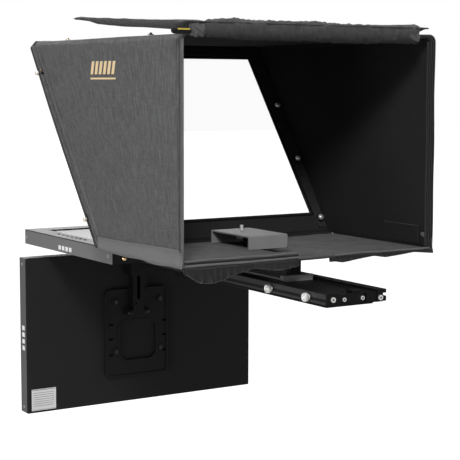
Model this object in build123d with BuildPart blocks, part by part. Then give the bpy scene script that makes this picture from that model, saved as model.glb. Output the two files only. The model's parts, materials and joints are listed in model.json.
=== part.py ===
from build123d import *
import math
import os

# A camera-mounted teleprompter, in millimetres.
# The origin is the mouth of the tripod hole. +Z is up, +Y points at the operator, +X to the operator's left.

# ---------------------------------------------------------------- driving dimensions
# Hood: a fabric-covered box, open at the rear, closed in front by the sloping glass.
hood_half = 247.0            # half the outer width
hood_rear_y = 330.0
floor_z = 74.0               # upper face of the hood's floor
hood_top_z = 433.0
board = 2.4                  # fabric-covered board of the side and top panels
floor_board = 3.2
sew_gap = 0.1                # gap between neighbouring panels

# Glass plane: it leans forward over the prompter monitor.
glass_foot_y = 38.0          # where the plane crosses the floor's height
glass_run = 255.0            # forward lean over the hood's height
frame_edge = ((3.0, 244.0), (6.0, 247.0), (200.0, 252.6), (300.0, 254.4), (429.5, 255.0), (441.5, 243.0))
frame_foot = 6.0             # distances along the plane, upwards
frame_head = 441.5
frame_depth = 6.0
frame_corner = 12.0
opening_foot = 49.0
opening_head = 409.5
opening_half_foot = 222.4    # the opening is widest at its foot
opening_half_head = 215.0
glass_half = 228.0
glass_lap = 9.0              # how far the glass reaches under the frame at its foot and head
glass_thickness = 3.2
gasket_thickness = 1.3
flange_depth = 2.2           # fabric flange behind the frame
inner_screw_x = 234.0
inner_screw_rows = (30.4, 164.0, 289.0)
side_screw_rows = (60.0, 371.0)
side_screw_grip = 10.0       # how far each side screw reaches into the frame's edge

# Rear curtain, folded back over the top.
roll_front_y = hood_rear_y + 3.2
roll_depth = 10.0
roll_bottom_z = 423.0
roll_top_z = 449.0
roll_left_x = 229.0
roll_right_x = -208.0
curtain_axis_y = 341.0
curtain_axis_z = 455.0

# Prompter monitor: a 19 inch 5:4 panel lying face up under the glass.
prompter_half = 222.0
prompter_front_y = -328.0
prompter_rear_y = 44.0
prompter_bottom_z = 44.6
prompter_top_z = 72.5
bezel_thickness = 2.0
prompter_window = (376.0, 301.0)
prompter_window_y = -140.5   # centre of the picture
wall = 2.5
button_count = 7
button_x = 203.0
button_first_y = -211.0
button_pitch = 18.6

# Rails.
rail_half = 58.5
rail_front_y = -210.0
rail_rear_y = 448.0
rail_bottom_z = 14.0
rail_top_z = 33.0
plate_bottom_z = 11.7
deck_top_z = 29.9
slot_left_x = -17.0
slot_right_x = -20.0

# Talent monitor: a 21.5 inch 16:9 panel that hangs upright below the rails.
talent_half = 253.0
talent_bottom_z = -277.0
talent_top_z = 24.4
talent_rear_y = -255.0
talent_front_y = -283.5
cover_thickness = 2.0
talent_window = (477.0, 268.0)
vesa_x = 15.0
vesa_z = -124.0
vesa_pitch = 100.0
arm_x = 21.0
arm_width = 24.0
arm_front_y = -247.0
arm_rear_y = -233.0
tilt_z = -95.0

# Screw and hole sizes.
tripod_hole_r = 3.97         # 3/8 inch thread
camera_stud_r = 3.175        # 1/4 inch thread
running_gap = 0.05

# ---------------------------------------------------------------- derived values
glass_length = math.hypot(glass_run, hood_top_z - floor_z)
lean = glass_run / glass_length
rise = (hood_top_z - floor_z) / glass_length
# Local x is across the glass, local y runs up it, and the normal points forward and down.
glass_plane = Plane(origin=(0, glass_foot_y, floor_z), x_dir=(1, 0, 0), z_dir=(0, -rise, -lean))
panel_inner = hood_half - board - sew_gap
prompter_y = (prompter_front_y + prompter_rear_y) / 2
prompter_depth = prompter_rear_y - prompter_front_y
talent_z = (talent_bottom_z + talent_top_z) / 2
talent_height = talent_top_z - talent_bottom_z
tilt_y = (arm_front_y + arm_rear_y) / 2

os.makedirs("parts", exist_ok=True)


def keep(builder, name):
    """Label a finished sub-part and write its STEP file."""
    builder.part.label = name
    export_step(builder.part, f"parts/{name}.step")


def opening_half(row):
    """Half width of the glass opening at a distance up the glass."""
    share = (row - opening_foot) / (opening_head - opening_foot)
    return opening_half_foot + share * (opening_half_head - opening_half_foot)


def glass_y(z, depth=0.0):
    """Y, at height z, of the surface that lies depth behind the glass plane."""
    return glass_foot_y + (depth - (z - floor_z) * lean) / rise


def at_y(y):
    """A plane whose local x and y are X and Z; a negative extrusion goes towards the operator."""
    return Plane.XZ.offset(-y)


def both_sides(x, rows):
    """Points at plus and minus x on every row."""
    return [(side * x, row) for side in (1, -1) for row in rows]


# ---------------------------------------------------------------- hood panels
side_outline = [
    (hood_rear_y, floor_z + 0.6),
    (hood_rear_y, hood_top_z),
    (glass_y(hood_top_z, 0.3), hood_top_z),
    (glass_y(floor_z + 0.6, 0.3), floor_z + 0.6),
]
for name, inner_face in (("hood_side_left", hood_half - board), ("hood_side_right", -hood_half)):
    with BuildPart() as side_panel:
        with BuildSketch(Plane.YZ.offset(inner_face)):
            Polygon(*side_outline, align=None)
        extrude(amount=board)
    keep(side_panel, name)

top_underside = hood_top_z - board
top_front = flange_depth + 0.5
with BuildPart() as hood_top:
    with BuildSketch(Plane.YZ.offset(-panel_inner)):
        Polygon(
            (hood_rear_y, top_underside),
            (hood_rear_y, hood_top_z),
            (glass_y(hood_top_z, top_front), hood_top_z),
            (glass_y(top_underside, top_front), top_underside),
            align=None,
        )
    extrude(amount=2 * panel_inner)
keep(hood_top, "hood_top")

floor_front_y = prompter_rear_y + 3
floor_slot = (27.0, 128.0)
floor_slot_y = 176.0
with BuildPart() as hood_floor:
    with BuildSketch(Plane.XY.offset(floor_z - floor_board)):
        with Locations((0, (floor_front_y + hood_rear_y) / 2)):
            Rectangle(2 * (hood_half - board - 1), hood_rear_y - floor_front_y)
        with Locations((0, floor_slot_y)):
            RectangleRounded(*floor_slot, 6, mode=Mode.SUBTRACT)
    extrude(amount=floor_board)
keep(hood_floor, "hood_floor")

# Fabric flanges that turn inwards behind the frame: one each side and one along the top.
flange_foot, flange_head = 12.0, 436.0
flange_top_foot = opening_head + 2
flange_top_half = opening_half(flange_head) + 1.5
with BuildPart() as hood_front_flange:
    with BuildSketch(glass_plane.offset(-0.2)):
        for side in (1, -1):
            Polygon(
                (side * (opening_half(flange_foot) + 2), flange_foot),
                (side * panel_inner, flange_foot),
                (side * panel_inner, flange_head),
                (side * (opening_half(flange_head) + 2), flange_head),
                align=None,
            )
        with Locations((0, (flange_top_foot + flange_head) / 2)):
            Rectangle(2 * flange_top_half, flange_head - flange_top_foot)
        with Locations(both_sides(inner_screw_x, inner_screw_rows)):
            Circle(2.6, mode=Mode.SUBTRACT)
    extrude(amount=-flange_depth)
keep(hood_front_flange, "hood_front_flange")

skirt_outline = [(44, 71), (44, 96.5), (320, 96.5), (329, 91), (333, 79), (333, 71)]
with BuildPart() as hood_skirts:
    for inner_face in (hood_half + 0.4, -hood_half - 2.8):
        with BuildSketch(Plane.YZ.offset(inner_face)):
            Polygon(*skirt_outline, align=None)
        extrude(amount=2.4)
keep(hood_skirts, "hood_skirts")

# Bound hem around the rear opening: two uprights and a header.
binding_width = 11.0
binding_depth = 3.0
binding_inner = hood_half - binding_width
with BuildPart() as hood_rear_binding:
    with BuildSketch(at_y(hood_rear_y)):
        for side in (1, -1):
            with Locations((side * (hood_half - binding_width / 2), (floor_z + 0.6 + hood_top_z) / 2)):
                Rectangle(binding_width, hood_top_z - floor_z - 0.6)
        with Locations((0, hood_top_z - 3)):
            Rectangle(2 * binding_inner - 0.4, 6)
    extrude(amount=-binding_depth)
keep(hood_rear_binding, "hood_rear_binding")

# Valances that hang from the rear edge of the floor, with a scalloped lower edge.
left_scallops = [(237, 61), (221, 48), (192, 46), (155, 57), (117, 65.5), (79, 60), (31, 68)]
right_scallops = [(-42, 65), (-57, 62), (-92, 66), (-124, 69), (-147, 65), (-177, 67), (-210, 70), (-246, 67.5)]
with BuildPart() as valances:
    with BuildSketch(at_y(hood_rear_y + 0.2)):
        with BuildLine():
            Polyline((31, floor_z), (246.5, floor_z), left_scallops[0])
            Spline(*left_scallops)
            Line(left_scallops[-1], (31, floor_z))
        make_face()
        with BuildLine():
            Polyline((-246, right_scallops[-1][1]), (-243, floor_z), (-31, floor_z), right_scallops[0])
            Spline(*right_scallops)
        make_face()
    extrude(amount=-2.0)
keep(valances, "valances")

# A plain decoration on the left side: six equal slanted stripes above one straight line.
stripe_count = 6
stripe_pitch = 15.5
stripe_width = 9.0
stripe_slant = 6.0
stripe_bottom_z = 371.5
stripe_top_z = 393.5
stripes_front_y = 17.5
stripes_length = stripe_pitch * (stripe_count - 1) + stripe_width + stripe_slant
with BuildPart() as side_emblem:
    with BuildSketch(Plane.YZ.offset(hood_half)):
        for index in range(stripe_count):
            front = stripes_front_y + stripe_pitch * index
            Polygon(
                (front, stripe_bottom_z),
                (front + stripe_width, stripe_bottom_z),
                (front + stripe_width + stripe_slant, stripe_top_z),
                (front + stripe_slant, stripe_top_z),
                align=None,
            )
        with Locations((stripes_front_y + stripes_length / 2, stripe_bottom_z - 7)):
            Rectangle(stripes_length, 3)
    extrude(amount=0.35)
keep(side_emblem, "side_emblem")

snap_rows = (-91.0, 215.0)
with BuildPart() as curtain_snaps:
    with BuildSketch(Plane.XY.offset(hood_top_z)):
        with Locations(both_sides(238, snap_rows)):
            Circle(5)
    extrude(amount=1.2)
    with BuildSketch(Plane.XY.offset(hood_top_z + 1.2)):
        with Locations(both_sides(238, snap_rows)):
            Circle(2.6)
    extrude(amount=2.6)
keep(curtain_snaps, "curtain_snaps")

# ---------------------------------------------------------------- rear curtain
with BuildPart() as curtain_roll:
    with BuildSketch(Plane.YZ.offset(roll_right_x)):
        with Locations((roll_front_y + roll_depth / 2, (roll_bottom_z + roll_top_z) / 2)):
            RectangleRounded(roll_depth, roll_top_z - roll_bottom_z, 4.5)
    extrude(amount=roll_left_x - roll_right_x)
keep(curtain_roll, "curtain_roll")

with BuildPart() as curtain_tab:
    with BuildSketch(at_y(roll_front_y + 0.4)):
        with Locations((248, 437)):
            RectangleRounded(34, 12, 4)
    extrude(amount=-8)
keep(curtain_tab, "curtain_tab")

# The flap leaves the fold just under its axis, so that it hangs clear of the roll when it is flipped down.
curtain_upper = [(343, 452.7), (333, 452.6), (300, 447.6), (200, 446), (60, 455), (-46, 469)]
curtain_lower = [(-46, 464.5), (60, 450), (200, 441.5), (300, 443), (333, 449.8), (343, 449.8)]
fold_r = 3.0
with BuildPart() as rear_curtain:
    with BuildSketch(Plane.YZ.offset(-243)):
        Polygon(*curtain_upper, *curtain_lower, align=None)
        with Locations((curtain_axis_y, curtain_axis_z)):
            Circle(fold_r)
    extrude(amount=489)
    with BuildSketch(Plane.XY.offset(400)):
        Polygon((-250, 230), (-226, 330), (-226, 350), (-250, 350), align=None)
    extrude(amount=100, mode=Mode.SUBTRACT)
keep(rear_curtain, "rear_curtain")

# ---------------------------------------------------------------- glass and its frame
glass_foot = opening_foot - glass_lap
glass_head = opening_head + glass_lap
glass_middle = (glass_foot + glass_head) / 2
rebate_depth = gasket_thickness + glass_thickness
rebate_gap = 0.5


def side_plane(side, row):
    """A plane on the frame's outer edge, facing outwards, centred in the frame's depth at a distance up the glass."""
    places, widths = zip(*frame_edge)
    above = next(index for index, place in enumerate(places) if place >= row)
    share = (row - places[above - 1]) / (places[above] - places[above - 1])
    width = widths[above - 1] + share * (widths[above] - widths[above - 1])
    return Plane(origin=glass_plane.from_local_coords((side * width, row, frame_depth / 2)), z_dir=(side, 0, 0))


def frame_bar(name, outline):
    """One flat bar of the glass frame, rebated behind for the glass and drilled for the thumbscrews."""
    with BuildPart() as bar:
        with BuildSketch(glass_plane):
            Polygon(*outline, align=None)
            with Locations(both_sides(inner_screw_x, inner_screw_rows)):
                Circle(2.4, mode=Mode.SUBTRACT)
        extrude(amount=frame_depth)
        with BuildSketch(glass_plane):
            with Locations((0, glass_middle)):
                Rectangle(2 * (glass_half + rebate_gap), glass_head - glass_foot + 2 * rebate_gap)
        extrude(amount=rebate_depth, mode=Mode.SUBTRACT)
        for side in (1, -1):
            for row in side_screw_rows:
                with BuildSketch(side_plane(side, row).offset(0.5)):
                    Circle(1.7)
                extrude(amount=-side_screw_grip - 0.7, mode=Mode.SUBTRACT)
    keep(bar, name)


for name, side in (("glass_frame_left", 1), ("glass_frame_right", -1)):
    frame_bar(name, [
        (side * opening_half(frame_foot), frame_foot),
        *((side * width, row) for row, width in frame_edge),
        (side * opening_half(frame_head), frame_head),
    ])
for name, foot, head in (
    ("glass_frame_top", opening_head, frame_head),
    ("glass_frame_bottom", frame_foot, opening_foot),
):
    frame_bar(name, [
        (-opening_half(foot), foot),
        (opening_half(foot), foot),
        (opening_half(head), head),
        (-opening_half(head), head),
    ])

with BuildPart() as beamsplitter_glass:
    with BuildSketch(glass_plane.offset(gasket_thickness)):
        with Locations((0, glass_middle)):
            Rectangle(2 * glass_half, glass_head - glass_foot)
    extrude(amount=glass_thickness)
    chamfer(beamsplitter_glass.edges().filter_by(Axis.X), length=0.6)
keep(beamsplitter_glass, "beamsplitter_glass")

# Foam strips behind the edges of the glass, with butt joints at the corners.
strip = 3.0
with BuildPart() as glass_gasket:
    with BuildSketch(glass_plane):
        for side in (1, -1):
            with Locations((side * (glass_half - strip / 2), glass_middle)):
                Rectangle(strip, glass_head - glass_foot)
        for row in (glass_foot + strip / 2, glass_head - strip / 2):
            with Locations((0, row)):
                Rectangle(2 * (glass_half - strip) - 1, strip)
    extrude(amount=gasket_thickness)
keep(glass_gasket, "glass_gasket")

# Thumbscrews: three a side clamp the fabric flange from inside, and two a side go into the frame's outer edge.
flange_back = 0.2 + flange_depth
with BuildPart() as frame_thumbscrews:
    inner_points = both_sides(inner_screw_x, inner_screw_rows)
    for radius, start, length in ((2.4, frame_depth, 12.0), (7.0, -flange_back, 1.2), (5.6, -flange_back, 10.0)):
        with BuildSketch(glass_plane.offset(start)):
            with Locations(inner_points):
                Circle(radius)
        extrude(amount=-length)
    for side in (1, -1):
        for row in side_screw_rows:
            edge = side_plane(side, row)
            for radius, start, length in ((1.5, -side_screw_grip, side_screw_grip + 1), (2.8, 0.2, 1.2),
                                          (3.6, 1.4, 4.0)):
                with BuildSketch(edge.offset(start)):
                    Circle(radius)
                extrude(amount=length)
keep(frame_thumbscrews, "frame_thumbscrews")

# ---------------------------------------------------------------- hood hinges
hinge_y = 22.6
hinge_z = 77.5
knuckle_r = 4.2
hinge_pin_r = 2.0
hinge_x = 202.0              # middle of each hinge
moving_half = 4.0            # half the length of the moving knuckle
fixed_length = 6.8
leaf_half = 11.0
leaf_thickness = 1.6

with BuildPart() as hinge_leaves:
    for side in (1, -1):
        with BuildSketch(glass_plane.offset(frame_depth)):
            with Locations((side * hinge_x, 21)):
                RectangleRounded(2 * leaf_half, 26, 2)
                with Locations((-6, 5), (6, 5)):
                    Circle(1.8, mode=Mode.SUBTRACT)
            with Locations((side * (hinge_x + moving_half + 4), 12), (side * (hinge_x - moving_half - 4), 12)):
                Rectangle(7.6, 14, mode=Mode.SUBTRACT)
        extrude(amount=leaf_thickness)
        with BuildSketch(Plane.YZ.offset(side * hinge_x - moving_half)):
            with Locations((hinge_y, hinge_z)):
                Circle(knuckle_r)
        extrude(amount=2 * moving_half)
    with BuildSketch(Plane.YZ.offset(-hood_half)):
        with Locations((hinge_y, hinge_z)):
            Circle(hinge_pin_r + running_gap)
    extrude(amount=2 * hood_half, mode=Mode.SUBTRACT)
keep(hinge_leaves, "hinge_leaves")

with BuildPart() as hinge_brackets:
    for side in (1, -1):
        with BuildSketch(Plane.XY.offset(prompter_top_z)):
            with Locations((side * hinge_x, hinge_y - 12)):
                RectangleRounded(2 * leaf_half, 24, 2)
                with Locations((-6, -6), (6, -6)):
                    Circle(1.8, mode=Mode.SUBTRACT)
            with Locations((side * hinge_x, hinge_y)):
                Rectangle(2 * moving_half + 0.4, 12, mode=Mode.SUBTRACT)
        extrude(amount=leaf_thickness)
        for start in (side * hinge_x - moving_half - 0.2 - fixed_length, side * hinge_x + moving_half + 0.2):
            with BuildSketch(Plane.YZ.offset(start)):
                with Locations((hinge_y, hinge_z)):
                    Circle(knuckle_r)
            extrude(amount=fixed_length)
        with BuildSketch(Plane.YZ.offset(side * hinge_x - moving_half - fixed_length)):
            with Locations((hinge_y, hinge_z)):
                Circle(hinge_pin_r)
        extrude(amount=2 * (moving_half + fixed_length))
keep(hinge_brackets, "hinge_brackets")

# ---------------------------------------------------------------- prompter monitor
housing_height = prompter_top_z - bezel_thickness - prompter_bottom_z
socket_row = ((-150, 16, 7), (-118, 32, 11), (-82, 10, 10))   # X, width and height of each socket
board_z = 52.0
board_thickness = 1.6
socket_z = board_z + board_thickness
with BuildPart() as prompter_housing:
    with BuildSketch(Plane.XY.offset(prompter_bottom_z)):
        with Locations((0, prompter_y)):
            RectangleRounded(2 * prompter_half, prompter_depth, 2)
    extrude(amount=housing_height)
    with BuildSketch(Plane.XY.offset(prompter_bottom_z + wall)):
        with Locations((0, prompter_y)):
            Rectangle(2 * (prompter_half - wall), prompter_depth - 2 * wall)
    extrude(amount=housing_height, mode=Mode.SUBTRACT)
    with BuildSketch(at_y(prompter_rear_y - 2 * wall)):
        for socket_x, width, height in socket_row:
            with Locations((socket_x, socket_z + height / 2)):
                Rectangle(width + 0.6, height + 0.6)
    extrude(amount=-3 * wall, mode=Mode.SUBTRACT)
    with BuildSketch(Plane.XY.offset(prompter_bottom_z)):
        with Locations((0, prompter_y)):
            with GridLocations(vesa_pitch, vesa_pitch, 2, 2):
                Circle(2)
    extrude(amount=wall, mode=Mode.SUBTRACT)
keep(prompter_housing, "prompter_housing")

button_rows = [button_first_y + button_pitch * index for index in range(button_count)]
with BuildPart() as prompter_bezel:
    with BuildSketch(Plane.XY.offset(prompter_top_z - bezel_thickness)):
        with Locations((0, prompter_y)):
            RectangleRounded(2 * prompter_half, prompter_depth, 2)
        with Locations((0, prompter_window_y)):
            Rectangle(*prompter_window, mode=Mode.SUBTRACT)
        with Locations([(button_x, row) for row in button_rows]):
            Rectangle(4, 9.8, mode=Mode.SUBTRACT)
    extrude(amount=bezel_thickness)
keep(prompter_bezel, "prompter_bezel")

for name, bottom, thickness in (("prompter_screen", 68.2, 2.2), ("prompter_backlight", 60.0, 8.1)):
    with BuildPart() as panel:
        with BuildSketch(Plane.XY.offset(bottom)):
            with Locations((0, prompter_window_y)):
                Rectangle(prompter_window[0] + 20, prompter_window[1] + 20)
        extrude(amount=thickness)
    keep(panel, name)

board_x = -90.0
with BuildPart() as prompter_board:
    with BuildSketch(Plane.XY.offset(board_z)):
        with Locations((board_x, -30)):
            Rectangle(190, 130)
    extrude(amount=board_thickness)
    with BuildSketch(Plane.XY.offset(prompter_bottom_z + wall)):
        with Locations((board_x, -30)):
            with GridLocations(170, 110, 2, 2):
                Circle(3)
    extrude(amount=board_z - prompter_bottom_z - wall)
    with BuildSketch(at_y(26)):
        for socket_x, width, height in socket_row:
            with Locations((socket_x, socket_z + height / 2)):
                Rectangle(width, height)
    extrude(amount=-(prompter_rear_y - 26))
    # A narrow key board with one switch under each menu button.
    with BuildSketch(Plane.XY.offset(60)):
        with Locations((button_x + 2.5, button_rows[3])):
            Rectangle(12, button_pitch * button_count)
    extrude(amount=1.6)
    with BuildSketch(Plane.XY.offset(61.6)):
        with Locations([(button_x, row) for row in button_rows]):
            Rectangle(4, 4)
    extrude(amount=3)
keep(prompter_board, "prompter_board")

for index, row in enumerate(button_rows):
    with BuildPart() as menu_button:
        with BuildSketch(Plane.XY.offset(66)):
            with Locations((button_x, row)):
                RectangleRounded(3.2, 9, 0.8)
        extrude(amount=7.2)
        with BuildSketch(Plane.XY.offset(67.5)):
            with Locations((button_x, row)):
                Rectangle(4.6, 11.4)
        extrude(amount=1.2)
    keep(menu_button, f"menu_button_{index + 1}")

# Screws: two in each side, and four up through the mounting plate.
mount_plate_top = prompter_bottom_z
with BuildPart() as prompter_screws:
    for side in (1, -1):
        with BuildSketch(Plane.YZ.offset(side * prompter_half)):
            with Locations((prompter_front_y + 11, 58), (prompter_rear_y - 14, 58)):
                Circle(2.8)
        extrude(amount=side * 1.0)
    for radius, bottom, height in ((2.0, 38.0, 9.5), (4.0, 35.0, 3.0)):
        with BuildSketch(Plane.XY.offset(bottom)):
            with Locations((0, prompter_y)):
                with GridLocations(vesa_pitch, vesa_pitch, 2, 2):
                    Circle(radius)
        extrude(amount=height)
keep(prompter_screws, "prompter_screws")

with BuildPart() as prompter_mount_plate:
    with BuildSketch(Plane.XY.offset(rail_top_z)):
        with Locations((0, prompter_y)):
            RectangleRounded(120, 120, 6)
            RectangleRounded(64, 64, 8, mode=Mode.SUBTRACT)
            with GridLocations(vesa_pitch, vesa_pitch, 2, 2):
                Circle(2, mode=Mode.SUBTRACT)
    extrude(amount=mount_plate_top - rail_top_z)
    with BuildSketch(Plane.XY.offset(rail_top_z)):
        with Locations((0, prompter_y)):
            with GridLocations(vesa_pitch, vesa_pitch, 2, 2):
                Circle(4.6)
    extrude(amount=5, mode=Mode.SUBTRACT)
keep(prompter_mount_plate, "prompter_mount_plate")

# ---------------------------------------------------------------- rails
rail_length = rail_rear_y - rail_front_y
knob_rows = (294.0, 400.0)
knob_z = 23.0
knob_shank_r = 2.5
end_screw_z = 23.5

left_section = [
    (35, rail_bottom_z),
    (rail_half - 2, rail_bottom_z),
    (rail_half, rail_bottom_z + 4),
    (rail_half, rail_top_z),
    (35, rail_top_z),
]
with BuildPart() as rail_left:
    with BuildSketch(at_y(rail_front_y)):
        Polygon(*left_section, align=None)
    extrude(amount=-rail_length)
    with BuildSketch(Plane.YZ.offset(rail_half)):
        with Locations([(row, knob_z) for row in knob_rows]):
            Circle(knob_shank_r + running_gap)
    extrude(amount=-12, mode=Mode.SUBTRACT)
    with BuildSketch(Plane.YZ.offset(rail_half)):
        with Locations((40, 27), (215, 27), (250, 27), (357, 27)):
            Circle(1.8)
    extrude(amount=-4, mode=Mode.SUBTRACT)
    with BuildSketch(at_y(rail_rear_y)):
        with Locations((46.5, end_screw_z)):
            Circle(2)
    extrude(amount=12, mode=Mode.SUBTRACT)
keep(rail_left, "rail_left")

with BuildPart() as rail_right:
    with BuildSketch(at_y(rail_front_y)):
        Polygon((-41, rail_bottom_z), (-rail_half, rail_bottom_z), (-rail_half, rail_top_z), (-41, rail_top_z),
                align=None)
        with Locations((-rail_half + 3.2, 24.5)):
            Rectangle(6.5, 5, mode=Mode.SUBTRACT)
    extrude(amount=-rail_length)
    with BuildSketch(at_y(rail_rear_y)):
        with Locations((-46.5, end_screw_z - 3.5)):
            Circle(2)
    extrude(amount=12, mode=Mode.SUBTRACT)
keep(rail_right, "rail_right")

# Deck between the rails: two strips with a guide slot between them, and a stop block at the rear.
deck_length = rail_length - 2
with BuildPart() as rail_deck:
    with BuildSketch(at_y(rail_front_y)):
        Polygon((34.9, rail_bottom_z), (34.9, deck_top_z), (slot_left_x, deck_top_z), (slot_left_x, rail_bottom_z),
                align=None)
        Polygon((slot_right_x, rail_bottom_z), (slot_right_x, deck_top_z), (-40.9, deck_top_z),
                (-40.9, rail_bottom_z), align=None)
    extrude(amount=-deck_length)
    with BuildSketch(Plane.XY.offset(deck_top_z)):
        with Locations((-2, 436)):
            Rectangle(16, 16)
    extrude(amount=5)
    with BuildSketch(at_y(rail_rear_y - 2)):
        with Locations((23.6, 22), (-12, 22)):
            Circle(1.8)
    extrude(amount=10, mode=Mode.SUBTRACT)
keep(rail_deck, "rail_deck")

with BuildPart() as rail_base_plate:
    with BuildSketch(Plane.XY.offset(plate_bottom_z)):
        with Locations((0, (rail_front_y + rail_rear_y) / 2)):
            Rectangle(2 * rail_half, rail_length)
        with Locations((-48, rail_rear_y)):
            Rectangle(32, 16, mode=Mode.SUBTRACT)
    extrude(amount=rail_bottom_z - plate_bottom_z)
keep(rail_base_plate, "rail_base_plate")

# Rear end screws: a button head outside and a shank in its hole.
with BuildPart() as rail_screws:
    for face_y, head_r, shank_r, shank, places in (
        (rail_rear_y, 4.2, 2.0, 11.0, ((46.5, end_screw_z), (-46.5, end_screw_z - 3.5))),
        (rail_rear_y - 2, 3.2, 1.8, 9.0, ((23.6, 22.0), (-12.0, 22.0))),
    ):
        with BuildSketch(at_y(face_y)):
            with Locations(places):
                Circle(head_r)
        extrude(amount=-2.2)
        with BuildSketch(at_y(face_y)):
            with Locations(places):
                Circle(shank_r)
        extrude(amount=shank)
keep(rail_screws, "rail_screws")


def thumb_knob(name, base_x, y, z, shank_r, shank, head_r, head):
    """A knob on the +X side: a shank into the rail, a thin collar and a fluted head."""
    with BuildPart() as knob:
        with BuildSketch(Plane.YZ.offset(base_x - shank)):
            with Locations((y, z)):
                Circle(shank_r)
        extrude(amount=shank + 1)
        with BuildSketch(Plane.YZ.offset(base_x + 0.2)):
            with Locations((y, z)):
                Circle(head_r * 0.7)
        extrude(amount=3)
        with BuildSketch(Plane.YZ.offset(base_x + 3.2)):
            with Locations((y, z)):
                Circle(head_r)
                with PolarLocations(head_r + 0.4, 18):
                    Circle(0.9, mode=Mode.SUBTRACT)
        extrude(amount=head)
    keep(knob, name)


for name, row in zip(("rail_knob_front", "rail_knob_rear"), knob_rows):
    thumb_knob(name, rail_half, row, knob_z, knob_shank_r, 10.0, 7.0, 7.0)

tripod_plate_size = (80.0, 120.0)
with BuildPart() as tripod_plate:
    with BuildSketch(Plane.XY):
        RectangleRounded(*tripod_plate_size, 6)
        Circle(tripod_hole_r, mode=Mode.SUBTRACT)
        with Locations((0, 40), (0, -40)):
            Circle(camera_stud_r, mode=Mode.SUBTRACT)
    extrude(amount=plate_bottom_z)
    chamfer(tripod_plate.faces().sort_by(Axis.Z)[0].outer_wire().edges(), length=1)
keep(tripod_plate, "tripod_plate")

# ---------------------------------------------------------------- camera sled
sled_front_y = 90.0
sled_rear_y = 288.0
sled_half = 31.0
sled_bottom_z = 30.0
sled_top_z = 36.0
bracket_top_z = 98.0
bracket_sheet = 3.0
bracket_half = 40.0
bracket_front_y = 74.0
bracket_rear_y = 197.0
camera_y = 112.0

with BuildPart() as camera_sled:
    with BuildSketch(Plane.XY.offset(sled_bottom_z)):
        with Locations((0, (sled_front_y + sled_rear_y) / 2)):
            RectangleRounded(2 * sled_half, sled_rear_y - sled_front_y, 3)
    extrude(amount=sled_top_z - sled_bottom_z)
    with BuildSketch(Plane.XY.offset(sled_top_z)):
        with Locations((0, sled_rear_y - 4)):
            Rectangle(2 * sled_half, 8)
    extrude(amount=4)
    with BuildSketch(Plane.XY.offset(24)):
        with Locations(((slot_left_x + slot_right_x) / 2, 190)):
            Rectangle(2, 180)
    extrude(amount=sled_bottom_z - 24)
keep(camera_sled, "camera_sled")

with BuildPart() as sled_risers:
    with BuildSketch(Plane.XY.offset(sled_top_z)):
        with Locations((0, 155)):
            Rectangle(23, 40)
    extrude(amount=bracket_top_z - bracket_sheet - sled_top_z)
    with BuildSketch(Plane.XY.offset(sled_top_z)):
        with Locations((0, 274.5)):
            Rectangle(23, 9)
    extrude(amount=27)
    with BuildSketch(Plane.XY.offset(sled_top_z + 27)):
        with Locations((2, 275)):
            Rectangle(32, 16)
    extrude(amount=3)
keep(sled_risers, "sled_risers")

bracket_profile = [
    (bracket_front_y, floor_z + 0.6),
    (bracket_front_y, bracket_top_z),
    (bracket_rear_y, bracket_top_z),
    (bracket_rear_y, floor_z + 0.6),
    (bracket_rear_y - bracket_sheet, floor_z + 0.6),
    (bracket_rear_y - bracket_sheet, bracket_top_z - bracket_sheet),
    (bracket_front_y + bracket_sheet, bracket_top_z - bracket_sheet),
    (bracket_front_y + bracket_sheet, floor_z + 0.6),
]
with BuildPart() as camera_bracket:
    with BuildSketch(Plane.YZ.offset(-bracket_half)):
        Polygon(*bracket_profile, align=None)
    extrude(amount=2 * bracket_half)
    fillet(camera_bracket.edges().filter_by(Axis.X).group_by(Axis.Z)[-1], radius=2)
    with BuildSketch(Plane.XY.offset(bracket_top_z - bracket_sheet)):
        with Locations((0, camera_y)):
            Circle(camera_stud_r + running_gap)
    extrude(amount=bracket_sheet, mode=Mode.SUBTRACT)
keep(camera_bracket, "camera_bracket")

# The screw is captive: its shank is undercut below the stud.
camera_stud_top = bracket_top_z + 10
camera_stud_foot = bracket_top_z + 0.6
camera_undercut_r = 2.6
camera_knob_bottom = 84.0
with BuildPart() as camera_screw:
    with BuildSketch(Plane.XY.offset(camera_knob_bottom)):
        with Locations((0, camera_y)):
            Circle(9)
            with PolarLocations(9.4, 20):
                Circle(1, mode=Mode.SUBTRACT)
    extrude(amount=bracket_top_z - bracket_sheet - 0.1 - camera_knob_bottom)
    with BuildSketch(Plane.XY.offset(camera_knob_bottom)):
        with Locations((0, camera_y)):
            Circle(camera_undercut_r)
    extrude(amount=camera_stud_foot - camera_knob_bottom)
    with BuildSketch(Plane.XY.offset(camera_stud_foot)):
        with Locations((0, camera_y)):
            Circle(camera_stud_r)
    extrude(amount=camera_stud_top - camera_stud_foot)
keep(camera_screw, "camera_screw")

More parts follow.
